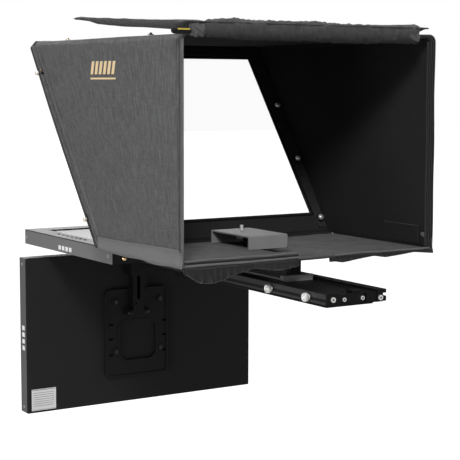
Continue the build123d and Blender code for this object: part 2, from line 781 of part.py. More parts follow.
# ---------------------------------------------------------------- talent monitor mount
clamp_front_y = -249.2
clamp_bottom_z = -16.0
clamp_left_x = 46.2
clamp_head_z = 29.0          # its head stands up in front of the rails
arm_knob_y = -237.0
arm_knob_z = 15.2
with BuildPart() as talent_clamp:
    with BuildSketch(Plane.XY.offset(clamp_bottom_z)):
        Polygon((-3, clamp_front_y), (clamp_left_x, clamp_front_y), (clamp_left_x, -222), (rail_half, -222),
                (rail_half, -190), (-3, -190), align=None)
    extrude(amount=plate_bottom_z - clamp_bottom_z)
    with BuildSketch(Plane.XY.offset(plate_bottom_z)):
        Polygon((-3, clamp_front_y), (clamp_left_x, clamp_front_y), (clamp_left_x, rail_front_y - 0.4),
                (-3, rail_front_y - 0.4), align=None)
    extrude(amount=clamp_head_z - plate_bottom_z)
    with BuildSketch(Plane.XY.offset(clamp_bottom_z)):
        with Locations((arm_x, tilt_y)):
            Rectangle(arm_width + 0.2, arm_rear_y - arm_front_y + 0.2)
    extrude(amount=clamp_head_z - clamp_bottom_z, mode=Mode.SUBTRACT)
    with BuildSketch(Plane.YZ.offset(arm_x)):
        with Locations((arm_knob_y, arm_knob_z)):
            Circle(3 + running_gap)
    extrude(amount=rail_half, mode=Mode.SUBTRACT)
keep(talent_clamp, "talent_clamp")

arm_top_z = 28.0
arm_bottom_z = tilt_z - 8
with BuildPart() as talent_arm:
    with BuildSketch(at_y(arm_rear_y)):
        with Locations((arm_x, (arm_top_z + arm_bottom_z) / 2)):
            RectangleRounded(arm_width, arm_top_z - arm_bottom_z, 2)
        with Locations((arm_x, -44)):
            SlotOverall(50, 7, rotation=90, mode=Mode.SUBTRACT)
        with Locations((arm_x + 6, -78), (arm_x - 6, 18)):
            Circle(2.2, mode=Mode.SUBTRACT)
    extrude(amount=arm_rear_y - arm_front_y)
    with BuildSketch(Plane.YZ.offset(arm_x - arm_width)):
        with Locations((tilt_y, tilt_z)):
            Circle(3 + running_gap)
    extrude(amount=2 * arm_width, mode=Mode.SUBTRACT)
keep(talent_arm, "talent_arm")

arm_gap = clamp_left_x - arm_x - arm_width / 2 - 0.2
thumb_knob("talent_arm_knob", clamp_left_x, arm_knob_y, arm_knob_z, 3.0, arm_gap, 7.5, 9.0)

plate_back_y = -250.0
plate_middle_x = 17.5
ear_r = 8.0
ear_thickness = 7.0
vesa_grid = [(vesa_x + sx * vesa_pitch / 2, vesa_z + sz * vesa_pitch / 2) for sx in (1, -1) for sz in (1, -1)]
with BuildPart() as talent_plate:
    with BuildSketch(at_y(talent_rear_y)):
        with Locations((plate_middle_x, -137.5)):
            RectangleRounded(141, 177, 12)
        with Locations((14, -32)):
            Rectangle(42, 66)
        with Locations((15, -154)):
            RectangleRounded(82, 78, 18, mode=Mode.SUBTRACT)
        with Locations(vesa_grid):
            Circle(2.2, mode=Mode.SUBTRACT)
        with Locations(both_sides(60, (-119, -148, -180))):
            with Locations((14.5, 0)):
                RectangleRounded(10, 5, 2, mode=Mode.SUBTRACT)
    extrude(amount=-(plate_back_y - talent_rear_y))
    # Raised rim, hole collar and screw bosses.
    with BuildSketch(at_y(plate_back_y)):
        with Locations((plate_middle_x, -137.5)):
            RectangleRounded(141, 177, 12)
            RectangleRounded(134, 170, 9, mode=Mode.SUBTRACT)
        with Locations((14, -49)):
            Rectangle(34, 8, mode=Mode.SUBTRACT)
    extrude(amount=-2.5)
    with BuildSketch(at_y(plate_back_y)):
        with Locations((15, -154)):
            RectangleRounded(90, 86, 21)
            RectangleRounded(82, 78, 18, mode=Mode.SUBTRACT)
    extrude(amount=-1.5)
    with BuildSketch(at_y(plate_back_y)):
        with Locations(vesa_grid):
            Circle(8)
            Circle(2.2, mode=Mode.SUBTRACT)
    extrude(amount=-2)
    # Two ears carry the tilt bolt.
    for ear_x in (arm_x - arm_width / 2 - 0.2 - ear_thickness, arm_x + arm_width / 2 + 0.2):
        with BuildSketch(Plane.YZ.offset(ear_x)):
            with Locations((tilt_y, tilt_z)):
                Circle(ear_r)
            with Locations(((tilt_y + plate_back_y) / 2 - 0.25, tilt_z)):
                Rectangle(tilt_y - plate_back_y + 0.5, 2 * ear_r)
            with Locations((tilt_y, tilt_z)):
                Circle(3, mode=Mode.SUBTRACT)
        extrude(amount=ear_thickness)
keep(talent_plate, "talent_plate")

# ---------------------------------------------------------------- talent monitor
cover_front_y = talent_rear_y - cover_thickness
bezel_rear_y = talent_front_y + bezel_thickness
with BuildPart() as talent_housing:
    with BuildSketch(at_y(cover_front_y)):
        with Locations((0, talent_z)):
            RectangleRounded(2 * talent_half, talent_height, 2)
            Rectangle(2 * (talent_half - wall), talent_height - 2 * wall, mode=Mode.SUBTRACT)
    extrude(amount=cover_front_y - bezel_rear_y)
    with BuildSketch(Plane.XY.offset(talent_bottom_z)):
        with Locations((-150, -266), (-120, -266)):
            Rectangle(17, 8)
    extrude(amount=wall, mode=Mode.SUBTRACT)
keep(talent_housing, "talent_housing")

with BuildPart() as talent_back_cover:
    with BuildSketch(at_y(talent_rear_y)):
        with Locations((0, talent_z)):
            RectangleRounded(2 * talent_half, talent_height, 2)
        with Locations(vesa_grid):
            Circle(2, mode=Mode.SUBTRACT)
    extrude(amount=cover_thickness)
keep(talent_back_cover, "talent_back_cover")

with BuildPart() as talent_bezel:
    with BuildSketch(at_y(bezel_rear_y)):
        with Locations((0, talent_z)):
            RectangleRounded(2 * talent_half, talent_height, 2)
            Rectangle(*talent_window, mode=Mode.SUBTRACT)
    extrude(amount=bezel_thickness)
keep(talent_bezel, "talent_bezel")

for name, rear, thickness in (("talent_screen", -279.4, 2.0), ("talent_backlight", -270.4, 8.9)):
    with BuildPart() as panel:
        with BuildSketch(at_y(rear)):
            with Locations((0, talent_z)):
                Rectangle(talent_window[0] + 16, talent_window[1] + 16)
        extrude(amount=thickness)
    keep(panel, name)

with BuildPart() as talent_board:
    with BuildSketch(at_y(-264)):
        with Locations((-110, -200)):
            Rectangle(180, 120)
    extrude(amount=1.6)
    with BuildSketch(at_y(-262)):
        with Locations((-150, -268.5), (-120, -268.5)):
            Rectangle(15, 16)
    extrude(amount=7)
keep(talent_board, "talent_board")

with BuildPart() as talent_label:
    with BuildSketch(at_y(talent_rear_y)):
        with Locations((218.5, -252)):
            RectangleRounded(51, 42, 1)
    extrude(amount=-0.3)
keep(talent_label, "talent_label")

# Four screws hold the plate, four close the sides, and one bolt is the tilt pivot.
with BuildPart() as talent_screws:
    with BuildSketch(at_y(plate_back_y + 2)):
        with Locations(vesa_grid):
            Circle(4.2)
    extrude(amount=-2.6)
    with BuildSketch(at_y(plate_back_y + 2)):
        with Locations(vesa_grid):
            Circle(2)
    extrude(amount=9.5)
    for side in (1, -1):
        with BuildSketch(Plane.YZ.offset(side * talent_half)):
            with Locations((-269, talent_bottom_z + 12), (-269, talent_top_z - 12)):
                Circle(2.8)
        extrude(amount=side * 1.0)
    bolt_end = arm_x - arm_width / 2 - 0.2 - ear_thickness
    bolt_head = arm_x + arm_width / 2 + 0.2 + ear_thickness
    for start, end, radius in ((bolt_end - 6, bolt_head + 4, 3.0), (bolt_end - 5, bolt_end, 5.5),
                               (bolt_head, bolt_head + 4, 5.5)):
        with BuildSketch(Plane.YZ.offset(start)):
            with Locations((tilt_y, tilt_z)):
                Circle(radius)
        extrude(amount=end - start)
keep(talent_screws, "talent_screws")
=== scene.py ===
import json
import math

import bmesh
import bpy
import numpy as np
from mathutils import Matrix, Vector


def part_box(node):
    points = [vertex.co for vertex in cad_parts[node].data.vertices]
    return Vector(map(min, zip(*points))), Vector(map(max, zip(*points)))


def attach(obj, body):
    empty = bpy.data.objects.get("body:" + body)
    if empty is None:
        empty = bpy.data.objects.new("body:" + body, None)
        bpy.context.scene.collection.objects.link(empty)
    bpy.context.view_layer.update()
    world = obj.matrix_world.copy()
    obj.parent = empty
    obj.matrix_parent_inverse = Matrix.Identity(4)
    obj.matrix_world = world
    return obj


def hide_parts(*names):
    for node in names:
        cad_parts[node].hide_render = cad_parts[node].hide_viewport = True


# Teleprompter: fabric, trim, fasteners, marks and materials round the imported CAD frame, in metres.
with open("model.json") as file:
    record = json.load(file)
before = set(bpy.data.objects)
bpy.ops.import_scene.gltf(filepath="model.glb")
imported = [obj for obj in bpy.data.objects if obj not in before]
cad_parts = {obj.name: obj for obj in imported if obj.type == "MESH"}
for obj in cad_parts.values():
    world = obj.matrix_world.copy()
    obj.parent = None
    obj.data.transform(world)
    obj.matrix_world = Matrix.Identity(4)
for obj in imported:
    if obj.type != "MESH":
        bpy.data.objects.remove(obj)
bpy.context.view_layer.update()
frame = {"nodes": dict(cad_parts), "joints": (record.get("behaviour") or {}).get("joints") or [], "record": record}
NODES = frame["nodes"]

# ---------------------------------------------------------------- places read from the frame
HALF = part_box("hood_side_left")[1].x            # outer face of the hood's left panel
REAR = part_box("hood_side_left")[1].y            # rear edge of the hood
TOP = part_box("hood_side_left")[1].z
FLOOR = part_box("hood_floor")[1].z
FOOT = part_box("hood_side_left")[0].z
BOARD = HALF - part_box("hood_side_left")[0].x
ARM_SEAT = next(j for j in frame["joints"] if j["name"] == "talent_arm_knob_spin")["pos_m"][0]
CORNER = 0.010                                  # radius of the hood's upper corners
SIDES = ((1, "left"), (-1, "right"))            # sign of X and name of each side
JET = (0.004, 0.004, 0.004, 1)                  # the colour of deep black parts
X, Y, Z = Vector((1, 0, 0)), Vector((0, 1, 0)), Vector((0, 0, 1))


def glass_plane():
    """The glass's normal, pointing up and rearwards, and the offset of the frame's rear face along it."""
    widest = max(NODES["beamsplitter_glass"].data.polygons, key=lambda face: face.area)
    normal = widest.normal.normalized()
    normal = normal if normal.y > 0 else -normal
    offset = max(normal.dot(v.co) for v in NODES["glass_frame_left"].data.vertices)
    return normal, offset


GLASS_NORMAL, GLASS_OFFSET = glass_plane()
GLASS_UP = Vector((0, -GLASS_NORMAL.z, GLASS_NORMAL.y))


def glass_y(z, depth=0.0):
    """Y, at height z, of the surface that lies depth behind the frame's rear face."""
    return (GLASS_OFFSET + depth - z * GLASS_NORMAL.z) / GLASS_NORMAL.y


# ---------------------------------------------------------------- camera
def make_camera():
    azimuth, elevation, roll = math.radians(147.9), math.radians(6.11), math.radians(0.14)
    back = Vector((
        math.sin(azimuth) * math.cos(elevation),
        -math.cos(azimuth) * math.cos(elevation),
        math.sin(elevation),
    ))
    right = (-back).cross(Z).normalized()
    up = right.cross(-back)
    right, up = right * math.cos(roll) + up * math.sin(roll), up * math.cos(roll) - right * math.sin(roll)
    data = bpy.data.cameras.new("camera")
    data.sensor_width, data.lens = 36.0, 107.27
    data.clip_start, data.clip_end = 0.05, 100.0
    camera = bpy.data.objects.new("camera", data)
    turn = Matrix((right, up, back)).transposed().to_4x4()
    camera.matrix_world = Matrix.Translation((1.29784, 2.14219, 0.35703)) @ turn
    bpy.context.scene.collection.objects.link(camera)
    bpy.context.scene.camera = camera


# ---------------------------------------------------------------- node helpers
def node(tree, kind, inputs=None, **settings):
    """Add a shader node, set its properties, and feed its inputs from values or sockets."""
    made = tree.nodes.new(kind)
    for name, value in settings.items():
        setattr(made, name, value)
    for name, value in (inputs or {}).items():
        if isinstance(value, bpy.types.NodeSocket):
            tree.links.new(value, made.inputs[name])
        else:
            made.inputs[name].default_value = value
    return made


def math_node(tree, operation, a, b=0.0, c=0.0, clamp=False):
    return node(tree, "ShaderNodeMath", {0: a, 1: b, 2: c}, operation=operation, use_clamp=clamp).outputs[0]


def scaled(tree, vector, scale):
    return node(tree, "ShaderNodeMapping", {"Vector": vector, "Scale": scale}).outputs[0]


def noise(tree, vector, scale, detail=3.0, roughness=0.55):
    made = node(tree, "ShaderNodeTexNoise", {"Vector": vector, "Scale": scale, "Detail": detail,
                                             "Roughness": roughness})
    return made.outputs["Fac"]


def spread(tree, value, low, high):
    """Map a noise value, which stays near 0.25 to 0.75, to the range low to high."""
    return ramp(tree, value, 0.25, 0.75, low, high)


def tinted(tree, colour, factor):
    """A colour multiplied by a number."""
    made = node(tree, "ShaderNodeVectorMath", {0: colour}, operation="SCALE")
    tree.links.new(factor, made.inputs["Scale"])
    return made.outputs[0]


def bump(tree, height, distance, strength=1.0, normal=None):
    made = node(tree, "ShaderNodeBump", {"Height": height, "Distance": distance, "Strength": strength})
    if normal is not None:
        tree.links.new(normal, made.inputs["Normal"])
    return made.outputs[0]


def new_material(name, **values):
    """A material with a Principled shader. Returns the material, its tree and the shader."""
    material = bpy.data.materials.new(name)
    material.use_nodes = True
    tree = material.node_tree
    shader = tree.nodes["Principled BSDF"]
    for key, value in values.items():
        shader.inputs[key.replace("_", " ")].default_value = value
    return material, tree, shader


def coordinates(tree, kind="Object"):
    return node(tree, "ShaderNodeTexCoord").outputs[kind]


def part_of(tree, vector, index):
    """The X, Y or Z part of a vector, by index 0, 1 or 2."""
    return node(tree, "ShaderNodeSeparateXYZ", {"Vector": vector}).outputs[index]


def ramp(tree, value, from_low, from_high, to_low=0.0, to_high=1.0):
    """Map a value from one range to another, and keep it inside the second."""
    return node(tree, "ShaderNodeMapRange", {"Value": value, "From Min": from_low, "From Max": from_high,
                                             "To Min": to_low, "To Max": to_high}).outputs[0]


def dim_base(tree, share):
    """Multiply the shader's base colour by a number."""
    shader = tree.nodes["Principled BSDF"]
    colour = shader.inputs["Base Color"].links[0].from_socket
    dimmed = node(tree, "ShaderNodeVectorMath", {0: colour, "Scale": share}, operation="SCALE").outputs[0]
    tree.links.new(dimmed, shader.inputs["Base Color"])


def repaint_base(tree, share, colour):
    """Turn the shader's base colour into another colour where share is 1."""
    shader = tree.nodes["Principled BSDF"]
    painted = shader.inputs["Base Color"].links[0].from_socket
    mixed = node(tree, "ShaderNodeMix", {"Factor": share, 6: painted, 7: colour}, data_type="RGBA")
    tree.links.new(mixed.outputs[2], shader.inputs["Base Color"])


def plain_weave(tree, vector, pitch):
    """Height of a plain weave, from 0 to 1: warp and weft threads that pass over each other in turn."""
    parts = node(tree, "ShaderNodeSeparateXYZ", {"Vector": vector})
    across = math_node(tree, "DIVIDE", parts.outputs[0], pitch)
    along = math_node(tree, "DIVIDE", parts.outputs[1], pitch)
    warp = math_node(tree, "ABSOLUTE", math_node(tree, "SINE", math_node(tree, "MULTIPLY", across, math.pi)))
    weft = math_node(tree, "ABSOLUTE", math_node(tree, "SINE", math_node(tree, "MULTIPLY", along, math.pi)))
    cell = math_node(tree, "ADD", math_node(tree, "FLOOR", across), math_node(tree, "FLOOR", along))
    over = math_node(tree, "PINGPONG", cell, 1.0)
    return node(tree, "ShaderNodeMix", {"Factor": over, 2: warp, 3: weft}, data_type="FLOAT").outputs[0]


def fabric(name, colour, pitch=0.0009, streaks=0.10, sheen=0.25, relief=0.00018, mottle=0.06):
    """Woven cloth on UVs in metres: threads, slubs both ways, most along U, and a faint unevenness."""
    material, tree, shader = new_material(name, Roughness=0.9, Sheen_Weight=sheen, Sheen_Roughness=0.5,
                                          Specular_IOR_Level=0.12)
    vector = coordinates(tree, "UV")
    weave = plain_weave(tree, vector, pitch)
    slub = noise(tree, scaled(tree, vector, (30, 230, 1)), 1.0, 2.0, 0.6)
    pick = noise(tree, scaled(tree, vector, (210, 45, 1)), 1.0, 2.0, 0.6)
    cloud = noise(tree, vector, 60.0, 4.0, 0.7)
    factor = math_node(tree, "MULTIPLY", spread(tree, slub, 1 - streaks, 1 + streaks),
                       spread(tree, cloud, 1 - mottle, 1 + mottle))
    factor = math_node(tree, "MULTIPLY", factor, spread(tree, pick, 1 - streaks / 2, 1 + streaks / 2))
    # The weave term darkens the colour between the threads: painted shade in the weave's hollows.
    factor = math_node(tree, "MULTIPLY", factor, math_node(tree, "MULTIPLY_ADD", weave, 0.35, 0.78))
    tree.links.new(tinted(tree, colour, factor), shader.inputs["Base Color"])
    height = math_node(tree, "MULTIPLY_ADD", slub, 0.8, weave)
    height = math_node(tree, "MULTIPLY_ADD", pick, 0.4, height)
    tree.links.new(bump(tree, height, relief), shader.inputs["Normal"])
    return material


def fabric_with_painted_shade(name, colour, low, high, darkest, **settings):
    """Fabric with painted shade: it darkens downwards from height high to height low, as the shaded underside of a
    fold does.
    """
    material = fabric(name, colour, **settings)
    tree = material.node_tree
    dim_base(tree, ramp(tree, part_of(tree, coordinates(tree), 2), low, high, darkest, 1.0))
    return material


def lining_with_painted_shade(name, colour, **settings):
    """Dark lining with painted shade: darker still where it faces down, under the hood's top."""
    material = fabric(name, colour, **settings)
    tree = material.node_tree
    dim_base(tree, ramp(tree, part_of(tree, coordinates(tree, "Normal"), 2), -0.8, -0.5, 0.12, 1.0))
    return material


def dot_product(tree, first, second):
    """The dot product of two vectors."""
    made = node(tree, "ShaderNodeVectorMath", {0: first, 1: second}, operation="DOT_PRODUCT")
    return made.outputs["Value"]


def edge_wear_and_highlight(tree, radius):
    """0 on flat faces and up to 1 where the surface turns within radius."""
    rounded = node(tree, "ShaderNodeBevel", {"Radius": radius}, samples=4).outputs[0]
    plain = node(tree, "ShaderNodeNewGeometry").outputs["Normal"]
    return ramp(tree, dot_product(tree, rounded, plain), 0.98, 0.75)


def metal(name, colour, roughness=0.35, metallic=1.0, grain=(700, 700, 700), relief=0.00003, wear_and_highlight=0.0,
          specular=0.5, vary=0.12):
    """Metal or paint with a fine grain, uneven gloss and, where asked, lighter edges that are partly wear and
    partly painted highlight.
    """
    material, tree, shader = new_material(name, Metallic=metallic, Specular_IOR_Level=specular)
    vector = coordinates(tree)
    fine = noise(tree, scaled(tree, vector, grain), 1.0, 2.0)
    broad = noise(tree, vector, 14.0, 4.0)
    gloss = spread(tree, broad, roughness * (1 - vary), roughness * (1 + vary))
    tree.links.new(gloss, shader.inputs["Roughness"])
    factor = math_node(tree, "MULTIPLY", spread(tree, broad, 0.93, 1.07), spread(tree, fine, 0.95, 1.05))
    # Lighter edges: partly wear, partly a painted highlight along the rounded edges.
    if wear_and_highlight:
        factor = math_node(tree, "MULTIPLY_ADD", edge_wear_and_highlight(tree, 0.0009), wear_and_highlight, factor)
    tree.links.new(tinted(tree, colour, factor), shader.inputs["Base Color"])
    tree.links.new(bump(tree, fine, relief), shader.inputs["Normal"])
    return material


def plastic(name, colour, roughness=0.45, relief=0.00002, scale=1400.0, specular=0.5):
    """Moulded plastic or film with a fine spark-eroded texture."""
    material, tree, shader = new_material(name, Specular_IOR_Level=specular)
    vector = coordinates(tree)
    fine = noise(tree, vector, scale, 2.0)
    broad = noise(tree, vector, 20.0, 3.0)
    tree.links.new(spread(tree, broad, roughness * 0.9, roughness * 1.1), shader.inputs["Roughness"])
    tree.links.new(tinted(tree, colour, spread(tree, broad, 0.95, 1.05)), shader.inputs["Base Color"])
    tree.links.new(bump(tree, fine, relief), shader.inputs["Normal"])
    return material


def coated_glass(name):
    """Clear glass with a thin partly mirrored coat: mostly transparent, with a weak sharp reflection."""
    material, tree, shader = new_material(name)
    tree.nodes.remove(shader)
    clear = node(tree, "ShaderNodeBsdfTransparent", {"Color": (1, 1, 1, 1)})
    mirror = node(tree, "ShaderNodeBsdfGlossy", {"Color": (0.95, 0.97, 1.0, 1), "Roughness": 0.01})
    facing = node(tree, "ShaderNodeLayerWeight", {"Blend": 0.5}).outputs["Facing"]
    front = math_node(tree, "SUBTRACT", 1.0, node(tree, "ShaderNodeNewGeometry").outputs["Backfacing"])
    share = math_node(tree, "MULTIPLY_ADD", math_node(tree, "POWER", facing, 4.0), 0.7, 0.035)
    share = math_node(tree, "MULTIPLY", share, front)
    mixed = node(tree, "ShaderNodeMixShader", {0: share, 1: clear.outputs[0], 2: mirror.outputs[0]})
    tree.links.new(mixed.outputs[0], tree.nodes["Material Output"].inputs["Surface"])
    return material


def circuit_board(name):
    """Green solder mask with fine copper tracks."""
    material, tree, shader = new_material(name, Roughness=0.3, Coat_Weight=0.4)
    mask, other_mask, copper = (0.01, 0.09, 0.03, 1), (0.012, 0.11, 0.035, 1), (0.04, 0.2, 0.07, 1)
    tracks = node(tree, "ShaderNodeTexBrick", {"Vector": coordinates(tree), "Scale": 60.0,
                                               "Mortar Size": 0.03, "Mortar": copper,
                                               "Color1": mask, "Color2": other_mask})
    tree.links.new(tracks.outputs["Color"], shader.inputs["Base Color"])
    return material


def shell_metal(name, colour, wear_and_highlight):
    """Painted sheet metal whose rearward faces are black."""
    material = metal(name, colour, roughness=0.5, metallic=0.0, wear_and_highlight=wear_and_highlight, relief=0.00006, specular=0.3)
    tree = material.node_tree
    rearward = part_of(tree, coordinates(tree, "Normal"), 1)
    repaint_base(tree, ramp(tree, rearward, 0.7, 0.8), JET)
    return material


def frame_paint_with_painted_light(name, colour, painted_light_colour):
    """Black paint with painted light: lighter and glossier on the faces that look into the glass opening, where
    they catch the light.
    """
    material = metal(name, colour, roughness=0.45, metallic=0.0, wear_and_highlight=0.8, specular=0.2)
    tree = material.node_tree
    side = math_node(tree, "SIGN", part_of(tree, coordinates(tree), 0))
    normal = coordinates(tree, "Normal")
    outwards = math_node(tree, "MULTIPLY", side, part_of(tree, normal, 0))
    inwards = math_node(tree, "MULTIPLY", outwards, -1.0)
    down_glass = dot_product(tree, normal, tuple(-GLASS_UP))
    share = ramp(tree, math_node(tree, "MAXIMUM", down_glass, inwards), 0.8, 0.95)
    repaint_base(tree, share, (*painted_light_colour, 1))
    shader = tree.nodes["Principled BSDF"]
    tree.links.new(math_node(tree, "MULTIPLY_ADD", share, 0.5, 0.2), shader.inputs["Specular IOR Level"])
    return material


def side_screw_metal(name, limit):
    """Bright steel on the heads that lie further out than limit, and black on the rest."""
    material = metal(name, (0.8, 0.79, 0.77), roughness=0.25)
    tree = material.node_tree
    across = math_node(tree, "ABSOLUTE", part_of(tree, coordinates(tree), 0))
    repaint_base(tree, math_node(tree, "LESS_THAN", across, limit), JET)
    outer = math_node(tree, "GREATER_THAN", across, limit)
    tree.links.new(outer, tree.nodes["Principled BSDF"].inputs["Metallic"])
    return material


def grey(level, blue=None):
    """A grey, or with a second number a grey whose blue part differs a little."""
    return level, level, level if blue is None else blue


MATERIALS = {
    "hood_fabric": fabric("hood_fabric", grey(0.0560, 0.0572), streaks=0.60, mottle=0.14),
    # The lining carries painted shade on its downward faces.
    "hood_lining": lining_with_painted_shade("hood_lining", grey(0.0120, 0.0124), streaks=0.16, sheen=0.06),
    "flange_cloth": fabric("flange_cloth", grey(0.034, 0.035), streaks=0.3, sheen=0.1, mottle=0.2),
    "skirt_fabric": fabric("skirt_fabric", grey(0.120, 0.122), pitch=0.0007, streaks=0.07),
    "valance_fabric": fabric("valance_fabric", grey(0.0140, 0.0144), pitch=0.0012, streaks=0.12,
                             mottle=0.25, relief=0.0004, sheen=0.2),
    "floor_cloth": fabric("floor_cloth", grey(0.045, 0.0465), streaks=0.14, sheen=0.2, mottle=0.12),
    "curtain_fabric": fabric("curtain_fabric", grey(0.022, 0.0225), pitch=0.0007, streaks=0.12, sheen=0.22,
                             mottle=0.12, relief=0.0003),
    # The roll's cloth carries painted shade, darker towards its underside.
    "roll_fabric_painted_shade": fabric_with_painted_shade("roll_fabric_painted_shade", grey(0.110, 0.112), 0.425, 0.453, 0.07, pitch=0.0007,
                                 streaks=0.25, sheen=0.15, mottle=0.2, relief=0.0005),
    "binding_tape": fabric("binding_tape", grey(0.150, 0.153), pitch=0.0012, streaks=0.08, relief=0.0003),
    # Dark cloth, also used as painted shade in the groove beside the left tape.
    "binding_dark_and_shade": fabric("binding_dark_and_shade", grey(0.0070, 0.0072), pitch=0.0012, streaks=0.22, relief=0.0003,
                           mottle=0.2),
    "crumpled_lining": fabric("crumpled_lining", grey(0.100, 0.102), pitch=0.0008, streaks=0.2, mottle=0.4,
                              relief=0.0005),
    "tab_cloth": fabric("tab_cloth", grey(0.008, 0.009), pitch=0.0006, sheen=0.1),
    "tab_mark": fabric("tab_mark", (0.75, 0.58, 0.06), pitch=0.0005),
    "stitching": fabric("stitching", grey(0.045, 0.047), pitch=0.0003, sheen=0.4),
    "gold_print": metal("gold_print", (0.86, 0.66, 0.38), roughness=0.45, metallic=0.2, vary=0.3),
    "white_print": plastic("white_print", grey(0.85), roughness=0.5),
    # The frame's faces into the glass opening carry painted light.
    "black_frame": frame_paint_with_painted_light("black_frame", grey(0.030, 0.031), grey(0.30, 0.305)),
    "black_anodised": metal("black_anodised", grey(0.0045, 0.0047), roughness=0.42, metallic=0.0, wear_and_highlight=3.0,
                            specular=0.16, grain=(900, 60, 900)),
    # Paler than black_anodised: painted light on the rail's raised faces.
    "rail_face_painted_light": metal("rail_face_painted_light", grey(0.026, 0.027), roughness=0.4, metallic=0.0, specular=0.3),
    "grey_anodised": metal("grey_anodised", grey(0.28, 0.285), roughness=0.55, metallic=0.0, wear_and_highlight=0.2),
    "beamsplitter": coated_glass("beamsplitter"),
    "foam": plastic("foam", grey(0.010), roughness=0.95, relief=0.0002, scale=700.0, specular=0.1),
    "steel_screws": metal("steel_screws", (0.95, 0.94, 0.92), roughness=0.40, metallic=0.7,
                          grain=(300, 300, 300)),
    "snap_metal": metal("snap_metal", (0.66, 0.60, 0.50), roughness=0.25),
    "hinge_steel": metal("hinge_steel", grey(0.03, 0.031), roughness=0.35, wear_and_highlight=1.0),
    "monitor_shell": shell_metal("monitor_shell", grey(0.160, 0.163), 0.5),
    # The lower monitor's shell is a darker copy of monitor_shell: painted shade for the weaker light there.
    "talent_shell_painted_shade": shell_metal("talent_shell_painted_shade", grey(0.095, 0.097), 1.4),
    "monitor_face": metal("monitor_face", grey(0.026, 0.027), roughness=0.45, metallic=0.0, wear_and_highlight=0.4,
                          relief=0.00005, specular=0.20),
    "monitor_back": metal("monitor_back", grey(0.0175, 0.0180), roughness=0.65, metallic=0.0, wear_and_highlight=0.3,
                          relief=0.00008, specular=0.12),
    "plate_paint": metal("plate_paint", grey(0.0085, 0.0088), roughness=0.5, metallic=0.0, wear_and_highlight=1.2,
                         relief=0.00006, specular=0.16),
    "lcd_panel": plastic("lcd_panel", grey(0.012, 0.015), roughness=0.28, relief=0.0, specular=0.20),
    "lcd_backlight": plastic("lcd_backlight", grey(0.6, 0.58), roughness=0.7),
    "circuit_board": circuit_board("circuit_board"),
    "button_plastic": plastic("button_plastic", grey(0.004), roughness=0.9, specular=0.0),
    "brass_knob": metal("brass_knob", (0.85, 0.60, 0.34), roughness=0.25, grain=(500, 500, 500)),
    "label_paper": plastic("label_paper", grey(0.75), roughness=0.5),
    "label_ink": plastic("label_ink", grey(0.20), roughness=0.6),
    "side_head": metal("side_head", (0.90, 0.84, 0.75), roughness=0.40, metallic=0.6,
                       grain=(300, 300, 300)),
    "black_nut": plastic("black_nut", grey(0.008), roughness=0.3, specular=0.3),
    "talent_screws": side_screw_metal("talent_screws", 0.2505),
    "prompter_screws": side_screw_metal("prompter_screws", 0.2195),
    "hook_tape": fabric("hook_tape", grey(0.082, 0.083), pitch=0.0016, streaks=0.25, mottle=0.45,
                        relief=0.0008),
}


# ---------------------------------------------------------------- mesh helpers
def waves(u, v, seed, wavelength, stretch=1.0):
    """A smooth random height of about -1 to 1 over the arrays u and v; stretch lengthens it along v."""
    draw = np.random.default_rng(seed)
    total = np.zeros(np.broadcast(u, v).shape)
    count = 10
    for _ in range(count):
        angle, phase = draw.uniform(0, math.pi), draw.uniform(0, 2 * math.pi)
        turn = 2 * math.pi / (wavelength * draw.uniform(0.6, 1.8))
        total += np.sin(turn * (u * math.cos(angle) + v / stretch * math.sin(angle)) + phase)
    return total / math.sqrt(count)


def smooth(value, low, high):
    """0 below low, 1 above high, and an even curve between them."""
    t = np.clip((value - low) / (high - low), 0, 1)
    return t * t * (3 - 2 * t)


def add_object(name, points, faces, materials, uvs=None, face_materials=None, sharp=math.radians(40)):
    """A smooth-shaded mesh object whose edges are sharp where its faces meet at over the sharp angle."""
    mesh = bpy.data.meshes.new(name)
    mesh.from_pydata([tuple(p) for p in points], [], [tuple(int(i) for i in face) for face in faces])
    for material in materials:
        mesh.materials.append(MATERIALS[material])
    if uvs is not None:
        layer = mesh.uv_layers.new(name="UVMap")
        corners = np.empty(len(mesh.loops), int)
        mesh.loops.foreach_get("vertex_index", corners)
        layer.data.foreach_set("uv", np.asarray(uvs, float)[corners].ravel())
    if face_materials is not None:
        mesh.polygons.foreach_set("material_index", np.asarray(face_materials, int))
    work = bmesh.new()
    work.from_mesh(mesh)
    bmesh.ops.recalc_face_normals(work, faces=work.faces)
    for face in work.faces:
        face.smooth = True
    for edge in work.edges:
        if len(edge.link_faces) == 2 and edge.calc_face_angle(0) > sharp:
            edge.smooth = False
    work.to_mesh(mesh)
    work.free()
    made = bpy.data.objects.new(name, mesh)
    bpy.context.scene.collection.objects.link(made)
    return made


def run_lengths(points, axis):
    """Distance along one axis of a grid of points, averaged over the other."""
    steps = np.linalg.norm(np.diff(points, axis=axis), axis=2).mean(axis=1 - axis)
    return np.concatenate([[0], np.cumsum(steps)])


def grid(name, points, materials, closed=False, caps=False, hole=None, face_materials=None, sharp=40):
    """A surface through a grid of points. closed joins its last column to its first; caps fills its ends."""
    points = np.asarray(points, float)
    rows, columns = points.shape[:2]
    faces = []
    for row in range(rows - 1):
        for column in range(columns if closed else columns - 1):
            after = (column + 1) % columns
            if hole is None or not hole(row, column):
                faces.append((row * columns + column, row * columns + after,
                              (row + 1) * columns + after, (row + 1) * columns + column))
    if caps:
        faces.append(tuple(range(columns)))
        faces.append(tuple((rows - 1) * columns + column for column in range(columns)))
    u, v = np.meshgrid(run_lengths(points, 1), run_lengths(points, 0))
    uvs = np.stack([u.ravel(), v.ravel()], 1)
    return add_object(name, points.reshape(-1, 3), faces, materials, uvs, face_materials, math.radians(sharp))


